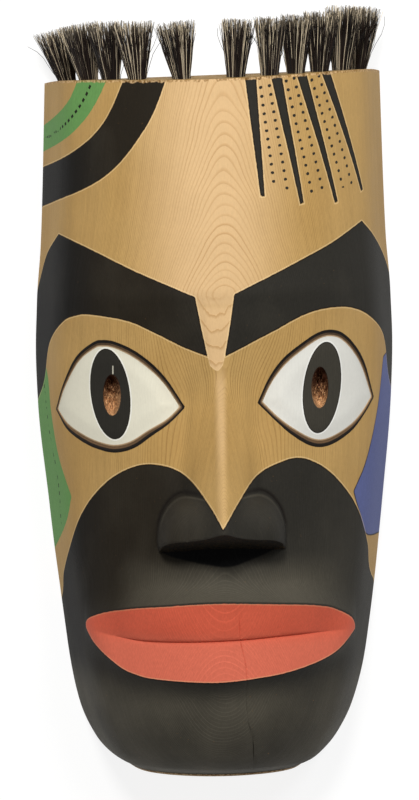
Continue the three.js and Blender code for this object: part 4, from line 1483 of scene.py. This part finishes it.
def tuft_mesh(tree, number, tuft, sizes):
    """One tuft's bristles as a plain mesh in the frame, made by the tree and then set in its hole."""
    maker = bpy.data.objects.new("tuft_maker", bpy.data.meshes.new("tuft_maker"))
    bpy.context.scene.collection.objects.link(maker)
    modifier = maker.modifiers.new("bristles", "NODES")
    modifier.node_group = tree
    given = {
        "Count": sizes.bristle_count,
        "Seed": number,
        "Hole radius": TUFT["shank"] * MM,
        "Hole depth": TUFT["root"] * MM,
        "Length": math.hypot(*tuft[1:3]) * MM,
        "Splay": tuft[3] * sizes.bristle_splay * MM,
        "Thickness": sizes.bristle_thickness / 2,
        "Stray share": sizes.stray_share,
    }
    for item in tree.interface.items_tree:
        if item.name in given:
            modifier[item.identifier] = given[item.name]
    bpy.context.view_layer.update()
    evaluated = maker.evaluated_get(bpy.context.evaluated_depsgraph_get())
    mesh = bpy.data.meshes.new_from_object(evaluated)
    maker.modifiers.remove(modifier)
    bpy.data.objects.remove(maker)
    _, _, foot, direction = tuft_axis(tuft)
    turn = Vector(direction).to_track_quat("Z", "Y").to_matrix().to_4x4()
    turn.translation = Vector((foot - ORIGIN) * MM)
    mesh.transform(turn)
    points = np.empty(3 * len(mesh.vertices))
    mesh.vertices.foreach_get("co", points)
    height, gap = points[2::3], BEND["floor_gap"]
    height[height < gap] = gap + BEND["floor_slope"] * (height[height < gap] - gap)
    mesh.vertices.foreach_set("co", points)
    return mesh


def finished(name, mesh, node):
    """A piece in its place on the mask: it stands for a node of the frame, whose part it hides, and hangs
    from the root body.
    """
    piece = bpy.data.objects.new(name, mesh)
    bpy.context.scene.collection.objects.link(piece)
    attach(piece, "root")
    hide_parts(node)
    return piece


def floor_material(colour):
    """Plain matt floor, lit from within so that shadows on it stay faint."""
    material, graph = new_finish("pale_floor")
    mottle = graph.noise(graph.add("ShaderNodeTexCoord", output="Object"), 3.0)
    show(graph, {
        "Base Color": graph.tint(colour, STAGE["floor_share"] + STAGE["floor_mottle"] * mottle),
        "Roughness": 0.9,
        "Emission Color": (*colour, 1),
        "Emission Strength": STAGE["floor_glow"],
    })
    return material


def in_frame(point):
    """A point of the design in the frame, in metres."""
    return Vector((np.array(point, float) - ORIGIN) * MM)


def looking(name, data, place_at, target):
    """A camera or a light at a point, aimed at another, with its top towards the top of the head."""
    thing = bpy.data.objects.new(name, data)
    bpy.context.scene.collection.objects.link(thing)
    away = (place_at - target).normalized()
    right = Vector((0, 1, 0)).cross(away).normalized()
    axes = Matrix((right, away.cross(right), away)).transposed().to_4x4()
    thing.matrix_world = Matrix.Translation(place_at) @ axes
    return thing


def colour_property(name, description, default):
    return bpy.props.FloatVectorProperty(
        name=name, description=description, default=default, size=3, min=0, max=1, subtype="COLOR")


class CedarMaskSizes(bpy.types.PropertyGroup):
    """Sizes of the finish that a user would change."""

    ring_spacing: bpy.props.FloatProperty(
        name="Ring spacing", description="Distance between growth rings, in mm", default=RINGS["spacing"],
        min=0.4, max=4)
    grain_contrast: bpy.props.FloatProperty(
        name="Grain contrast", description="How much darker the late wood is", default=0.55, min=0, max=1,
        subtype="FACTOR")
    grain_relief: bpy.props.FloatProperty(
        name="Grain relief", description="Height of the raised grain, in mm", default=0.12, min=0, max=1)
    bristle_count: bpy.props.IntProperty(
        name="Bristles", description="Number of bristles in each tuft", default=400, min=20, max=600)
    bristle_thickness: bpy.props.FloatProperty(
        name="Bristle thickness", description="Thickness of a bristle at its root", default=0.4 * MM,
        min=0.1 * MM, max=1 * MM, subtype="DISTANCE", unit="LENGTH")
    bristle_splay: bpy.props.FloatProperty(
        name="Splay", description="How much the tufts spread, as a factor", default=1, min=0, max=1.5)
    stray_share: bpy.props.FloatProperty(
        name="Stray share", description="Share of the bristles that stand out of a tuft", default=0.03,
        min=0, max=1, subtype="FACTOR")


class CedarMaskColours(bpy.types.PropertyGroup):
    """Colours of the wood, the paints, the bristle and the floor."""

    cedar_light: colour_property("Cedar", "Light part of the cedar", linear(180, 146, 90))
    cedar_warm: colour_property("Warm cedar", "Warmer patches of the cedar", linear(166, 130, 72))
    cedar_late: colour_property("Late wood", "Dark lines of the growth rings", linear(132, 96, 48))
    # Partly painted light: the forehead's paler wood, lightest where it faces the lamps; also the painted
    # highlight inside the lips' edge.
    cedar_pale: colour_property("Rubbed cedar", "Pale wood of the forehead", linear(210, 176, 131))
    cedar_late_pale: colour_property("Pale late wood", "Ring lines of the forehead", linear(170, 128, 76))
    cedar_edge: colour_property("Cut edge", "Clean wood beside the black paint", linear(238, 210, 160))
    black: colour_property("Black paint", "Thin black paint", linear(38, 36, 31))
    # Painted shade, partly the paint's warmer tone: the black on the lower left of the face.
    black_shaded_warm: colour_property("Warm black", "Black paint browned with smoke", linear(30, 24, 14))
    # Black paint thinned by wear, also used for the painted highlight along the nose's wings and the painted
    # sheen round the mouth.
    black_wear_and_highlight: colour_property("Worn black", "Black paint rubbed thin", linear(92, 87, 75))
    # Also laid in the grooves round the nose's wings as painted shade.
    line: colour_property("Line", "Darker edge of the black paint", linear(20, 15, 11))
    green: colour_property("Green paint", "Green of the temple and the cheek", linear(96, 142, 78))
    blue: colour_property("Blue paint", "Blue of the cheek", linear(86, 94, 140))
    white: colour_property("White paint", "White of the eyes", linear(216, 212, 194))
    white_cool: colour_property("Cool white", "White of the cleaner eye", linear(214, 213, 206))
    red: colour_property("Red paint", "Red of the lips", linear(202, 90, 66))
    red_pale: colour_property("Pale red", "Faded red of the lower lip", linear(194, 97, 75))
    bevel: colour_property("Cut bevel", "Bare bevel round the eyes", linear(92, 70, 48))
    bevel_pale: colour_property("Bevel edge", "Clean inner edge of that bevel", linear(176, 148, 114))
    raw_dark: colour_property("Raw wood", "Dark raw wood under the nose", linear(12, 9, 5))
    raw_light: colour_property("Raw fibres", "Light torn fibres under the nose", linear(62, 47, 24))
    # These two stand partly for torn fibres and partly for the lit and the shaded walls of each pupil; the
    # dark one is laid towards each pupil's top as painted shade.
    pupil_dark: colour_property("Pupil", "Dark raw wood of the pupils", linear(66, 32, 16))
    pupil_light: colour_property("Pupil fibres", "Light torn fibres of the pupils", linear(206, 158, 112))
    bristle_dark: colour_property("Dark bristle", "Dark bristles", linear(15, 11, 9))
    bristle_brown: colour_property("Brown bristle", "Brown bristles", linear(40, 27, 20))
    bristle_pale: colour_property("Pale bristle", "Pale bristles and cut tips", linear(240, 222, 190))
    floor: colour_property("Floor", "Plain floor", (0.94, 0.94, 0.94))


class CEDARMASK_OT_carving(bpy.types.Operator):
    """Carves the mask from one block, with its hollow, and paints it"""

    bl_idname = "cedar_mask.carving"
    bl_label = "Carve the mask"
    bl_options = {"REGISTER", "UNDO"}

    def execute(self, context):
        sizes, colours = context.scene.cedar_mask_sizes, context.scene.cedar_mask_colours
        mesh = carved_mesh()
        mesh.materials.append(painted_cedar_material(sizes, colours))
        mesh.materials.append(bare_cedar_material(sizes, colours))
        finished("carved_mask", mesh, "mask")
        return {"FINISHED"}


class CEDARMASK_OT_tufts(bpy.types.Operator):
    """Sets the eleven bristle tufts in the holes of the top end"""

    bl_idname = "cedar_mask.tufts"
    bl_label = "Set the bristle tufts"
    bl_options = {"REGISTER", "UNDO"}

    def execute(self, context):
        sizes, colours = context.scene.cedar_mask_sizes, context.scene.cedar_mask_colours
        tree = tuft_tree(bristle_material(colours))
        for number, tuft in enumerate(TUFTS, 1):
            mesh = tuft_mesh(tree, number, tuft, sizes)
            finished(f"tuft_{number:02d}_bristles", mesh, f"tuft_{number:02d}")
        return {"FINISHED"}


class CEDARMASK_OT_stage(bpy.types.Operator):
    """Lays a pale floor under the mask, and sets the lights and the camera that looks down on it"""

    bl_idname = "cedar_mask.stage"
    bl_label = "Set the stage"
    bl_options = {"REGISTER", "UNDO"}

    def execute(self, context):
        half = STAGE["half_side"]
        corners = [(-half, -half), (half, -half), (half, half), (-half, half)]
        mesh = bpy.data.meshes.new("floor")
        mesh.from_pydata([(x, y, STAGE["floor_z"]) for x, y in corners], [], [(0, 1, 2, 3)])
        mesh.materials.append(floor_material(context.scene.cedar_mask_colours.floor))
        floor = bpy.data.objects.new("floor", mesh)
        context.scene.collection.objects.link(floor)
        target = in_frame(CAMERA["target"])
        for name, (way, distance, size, power, warmth) in LIGHTS.items():
            light = bpy.data.lights.new(name, "AREA")
            light.shape, light.size, light.energy, light.color = "DISK", size, power, warmth
            looking(name, light, target + Vector(way).normalized() * distance, target)
        world = bpy.data.worlds.new("studio")
        world.use_nodes = True
        backdrop = world.node_tree.nodes["Background"]
        backdrop.inputs["Color"].default_value = (1, 1, 1, 1)
        backdrop.inputs["Strength"].default_value = STAGE["room_light"]
        context.scene.world = world
        context.scene.view_settings.view_transform = "Standard"
        lens = bpy.data.cameras.new("camera")
        lens.lens = CAMERA["lens"]
        context.scene.camera = looking("camera", lens, in_frame(CAMERA["eye"]), target)
        return {"FINISHED"}


class VIEW3D_PT_cedar_mask(bpy.types.Panel):
    """Sidebar panel that lists the mask's steps, sizes and colours"""

    bl_label = "Carved cedar mask"
    bl_space_type = "VIEW_3D"
    bl_region_type = "UI"
    bl_category = "Mask"

    def draw(self, context):
        column = self.layout.column()
        for operator in OPERATORS:
            column.operator(operator.bl_idname)
        for group in (context.scene.cedar_mask_sizes, context.scene.cedar_mask_colours):
            for name in group.__annotations__:
                column.prop(group, name)


OPERATORS = (CEDARMASK_OT_carving, CEDARMASK_OT_tufts, CEDARMASK_OT_stage)
CLASSES = (CedarMaskSizes, CedarMaskColours, *OPERATORS, VIEW3D_PT_cedar_mask)


def register():
    for cls in CLASSES:
        bpy.utils.register_class(cls)
    bpy.types.Scene.cedar_mask_sizes = bpy.props.PointerProperty(type=CedarMaskSizes)
    bpy.types.Scene.cedar_mask_colours = bpy.props.PointerProperty(type=CedarMaskColours)


def unregister():
    del bpy.types.Scene.cedar_mask_sizes
    del bpy.types.Scene.cedar_mask_colours
    for cls in reversed(CLASSES):
        bpy.utils.unregister_class(cls)


def plain(box):
    """A box as lists of numbers."""
    return [[float(value) for value in corner] for corner in box]


def main():
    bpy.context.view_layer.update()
    register()
    bpy.ops.cedar_mask.carving()
    bpy.ops.cedar_mask.tufts()
    bpy.ops.cedar_mask.stage()


if __name__ == "__main__":
    main()
